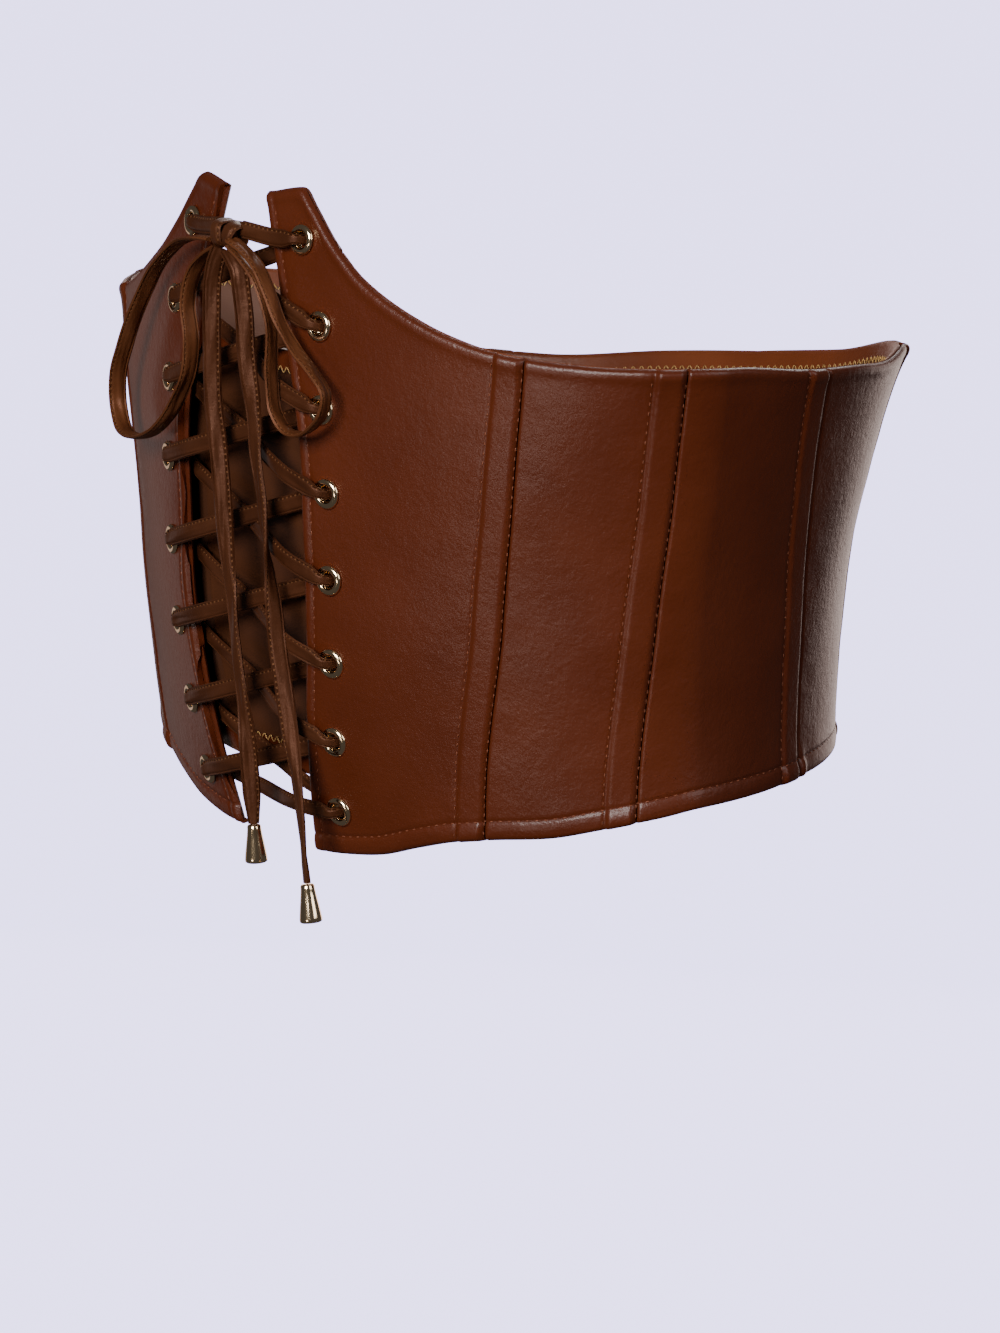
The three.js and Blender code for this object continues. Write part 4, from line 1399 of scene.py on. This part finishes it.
def through_eyelet(place, inside_slope, outside_slope):
    """Stations through an eyelet, from the inside to the outside."""
    clear = EYELET_FLANGE + LACE_THICKNESS / 2

    def bunched(to_edge, off, slope):
        shift = place.point_at(to_edge, 0, to_edge * slope) - place.point_at(0, 0, 0)
        point = place.point_at(0, 0, 0) + place.outward * off + shift
        return (point, place.up, BUNCHED_WIDTH, BUNCHED_THICKNESS)

    return [
        flat(place.point_at(clear, -INSIDE_DEPTH, clear * inside_slope), place.up),
        bunched(LACE_BEND, -INSIDE_DEPTH, inside_slope),
        bunched(0, -INSIDE_DEPTH + LACE_BEND, 0),
        bunched(0, OUTSIDE_HEIGHT - LACE_BEND, 0),
        bunched(LACE_BEND, OUTSIDE_HEIGHT, outside_slope),
        flat(place.point_at(clear, OUTSIDE_HEIGHT, clear * outside_slope), place.up),
    ]


def slope_between(start, end):
    return (end.height - start.height) / (abs(start.centre[0]) + abs(end.centre[0]))


def strap_across(start, leaves_inside, end, reaches_inside, shift):
    """Stations of a strap over the front gap, each end inside or outside the wall."""
    slope = slope_between(start, end)

    def at_edge(place, inside, rise):
        reach = place.set_back + PAST_EDGE
        return place.point_at(reach, -INSIDE_DEPTH if inside else EDGE_HEIGHT, reach * rise)

    first = at_edge(start, leaves_inside, slope)
    last = at_edge(end, reaches_inside, -slope)
    share = abs(first[0]) / (abs(first[0]) + abs(last[0]))
    middle = first + (last - first) * share + np.array([0, shift, 0])
    return [flat(first, start.up), flat(middle, UPRIGHT), flat(last, end.up)]


def make_lace():
    """One lace from the knot down through every eyelet and back up to the knot."""
    lowest = len(EYELET_ROWS) - 1
    stops = [("left" if row % 2 else "right", row) for row in range(lowest + 1)]
    stops += [("right" if row % 2 else "left", row) for row in range(lowest, -1, -1)]
    places = [EYELETS[side][row] for side, row in stops]

    def knot_end(reach):
        offset = np.array([reach * (KNOT_HALF_SIZE[0] + FIT_GAP), LACE_THICKNESS, LACE_THICKNESS])
        return flat(KNOT_PLACE + offset, UPRIGHT)

    stations = [knot_end(-1)]
    for k, place in enumerate(places):
        going_down = k <= lowest
        slope_before = slope_between(place, places[k - 1]) if k else 0
        slope_after = slope_between(place, places[k + 1]) if k + 1 < len(places) else 0
        if not going_down or k == lowest:
            stations += through_eyelet(place, slope_before, slope_after)
        else:
            stations += through_eyelet(place, slope_after, slope_before)[::-1]
        if k + 1 == len(places):
            break
        crosses = k < lowest - 1 or k > lowest
        in_front = -CROSSING_SHIFT if (k % 2 == 1) == going_down else CROSSING_SHIFT
        stations += strap_across(
            place, k < lowest, places[k + 1], k >= lowest - 1, in_front if crosses else 0,
        )
    stations.append(knot_end(1))
    obj, _ = tape_body("front_lacing", stations, 1.0)
    settle(obj, tape, ["lace"])


def out_from_belt(point):
    way = np.array([point[0] / WAIST_HALF_WIDTH, -1, 0])
    return way / np.linalg.norm(way)


def declare_cord(middle):
    path = [tuple(p * MM) for p in middle]


def make_bow():
    for side, route in (("left", LEFT_LOOP), ("right", RIGHT_LOOP)):
        stations = [flat(np.array(p, float), out_from_belt(p)) for p in route]
        obj, middle = tape_body(f"bow_strap_{side}", stations)
        # The loops take the lighter copy of the tape's colour, which is painted light
        settle(obj, bow_tape_painted_light, [f"bow_loop_{side}"])
        declare_cord(middle)
    make_knot()


def make_knot():
    """The lace wound round itself: a square band, a rounder one beside it and a filling."""
    deselect_all()
    bpy.ops.mesh.primitive_uv_sphere_add(segments=32, ring_count=20, radius=1)
    filling = bpy.context.object
    co = np.array([v.co[:] for v in filling.data.vertices])
    set_places(filling, KNOT_PLACE + co * KNOT_HALF_SIZE * 0.8)
    stretch_uv(filling, 10, 28)
    shade(filling, 60)
    bands = []
    for number, (slant, aside, deep, tall, power) in enumerate(KNOT_BANDS):
        angle = math.radians(slant)
        width_way = np.array([math.cos(angle), 0, math.sin(angle)])
        up = np.array([-math.sin(angle), 0, math.cos(angle)])
        stations = []
        for degrees in range(-200, 201, 20):
            around = math.radians(degrees)
            rise = math.copysign(abs(math.sin(around)) ** power, math.sin(around))
            ahead = math.copysign(abs(math.cos(around)) ** power, math.cos(around))
            point = KNOT_PLACE + width_way * aside + up * (tall * rise)
            point[1] -= deep * ahead
            stations.append((point, width_way, LACE_WIDTH * 0.94, LACE_THICKNESS * 0.8))
        bands.append(tape_body(f"knot_band_{number}", stations, 0.6)[0])
    deselect_all()
    for band in bands:
        band.select_set(True)
    filling.select_set(True)
    bpy.context.view_layer.objects.active = filling
    bpy.ops.object.join()
    filling.name = "tied_knot"
    settle(filling, tape, ["bow_knot"])


def make_tails():
    for side, route in (("left", LEFT_TAIL), ("right", RIGHT_TAIL)):
        stations = []
        for x, y, z, degrees in route:
            angle = math.radians(degrees)
            across = np.array([math.cos(angle), math.sin(angle), 0])
            stations.append(flat(np.array([x, y, z], float), across))
        foot = stations[-1]
        stations[-1] = (foot[0], foot[1], CORD_END_TOP * 1.6, LACE_THICKNESS * 1.4)
        obj, middle = tape_body(f"hanging_lace_{side}", stations)
        settle(obj, tape, [f"lace_tail_{side}"])
        bell = make_cord_end(side, route)
        declare_cord(middle)


# Studio

FLOOR_DROP = 0.75
AMBIENT = 0.065

# Name, place, width, height, watts and colour. The low ones give the sheen of the far panels
LAMPS = (
    ("key", (1.0, -2.1, 1.1), 1.1, 1.1, 104, (1, 0.98, 0.96)),
    ("fill", (2.4, 0.7, 1.2), 1.6, 1.6, 29, (1, 1, 1)),
    ("rim", (-1.4, 1.8, 1.9), 1.4, 1.4, 55, (1, 1, 1)),
    ("back_glow", (-1.3, 1.7, -0.2), 2.4, 1.0, 17, (1, 0.8, 0.73)),
    ("far_glow", (-2.2, -0.1, -0.45), 1.1, 0.9, 1.5, (1, 0.8, 0.75)),
    ("low_strip", (0.6, -2.3, -0.4), 0.6, 0.3, 5, (1, 0.9, 0.8)),
)


def make_floor():
    """Plain pale floor that lights itself, and that the leather doesn't mirror."""
    deselect_all()
    bpy.ops.mesh.primitive_plane_add(size=60, location=(0, 0, -FLOOR_DROP))
    floor = bpy.context.object
    floor.name = "studio_floor"
    paper = Look("pale_floor")
    floor.data.materials.append(paper.finish(
        base_color=rgb(0.08, 0.08, 0.09), roughness=0.9,
        emission_color=rgb(0.64, 0.58, 1.0), emission_strength=3.9,
    ))
    floor.visible_diffuse = False
    floor.visible_glossy = False


def make_lights():
    world = bpy.data.worlds.new("studio")
    world.use_nodes = True
    background = world.node_tree.nodes["Background"]
    background.inputs["Color"].default_value = rgb(0.92, 0.88, 0.9)
    background.inputs["Strength"].default_value = AMBIENT
    bpy.context.scene.world = world
    for name, place, width, tall, watts, colour in LAMPS:
        data = bpy.data.lights.new(name, "AREA")
        data.shape = "RECTANGLE"
        data.size = width
        data.size_y = tall
        data.energy = watts
        data.color = colour
        lamp = add_object(name, data)
        lamp.location = place
        lamp.rotation_mode = "QUATERNION"
        lamp.rotation_quaternion = (-Vector(place)).to_track_quat("-Z", "Y")
        lamp.visible_camera = False


make_lace()
make_bow()
make_tails()
make_eyelets()
make_panels()
make_stitches()
make_front_facings()
make_lining()
make_flap()
make_floor()
make_lights()
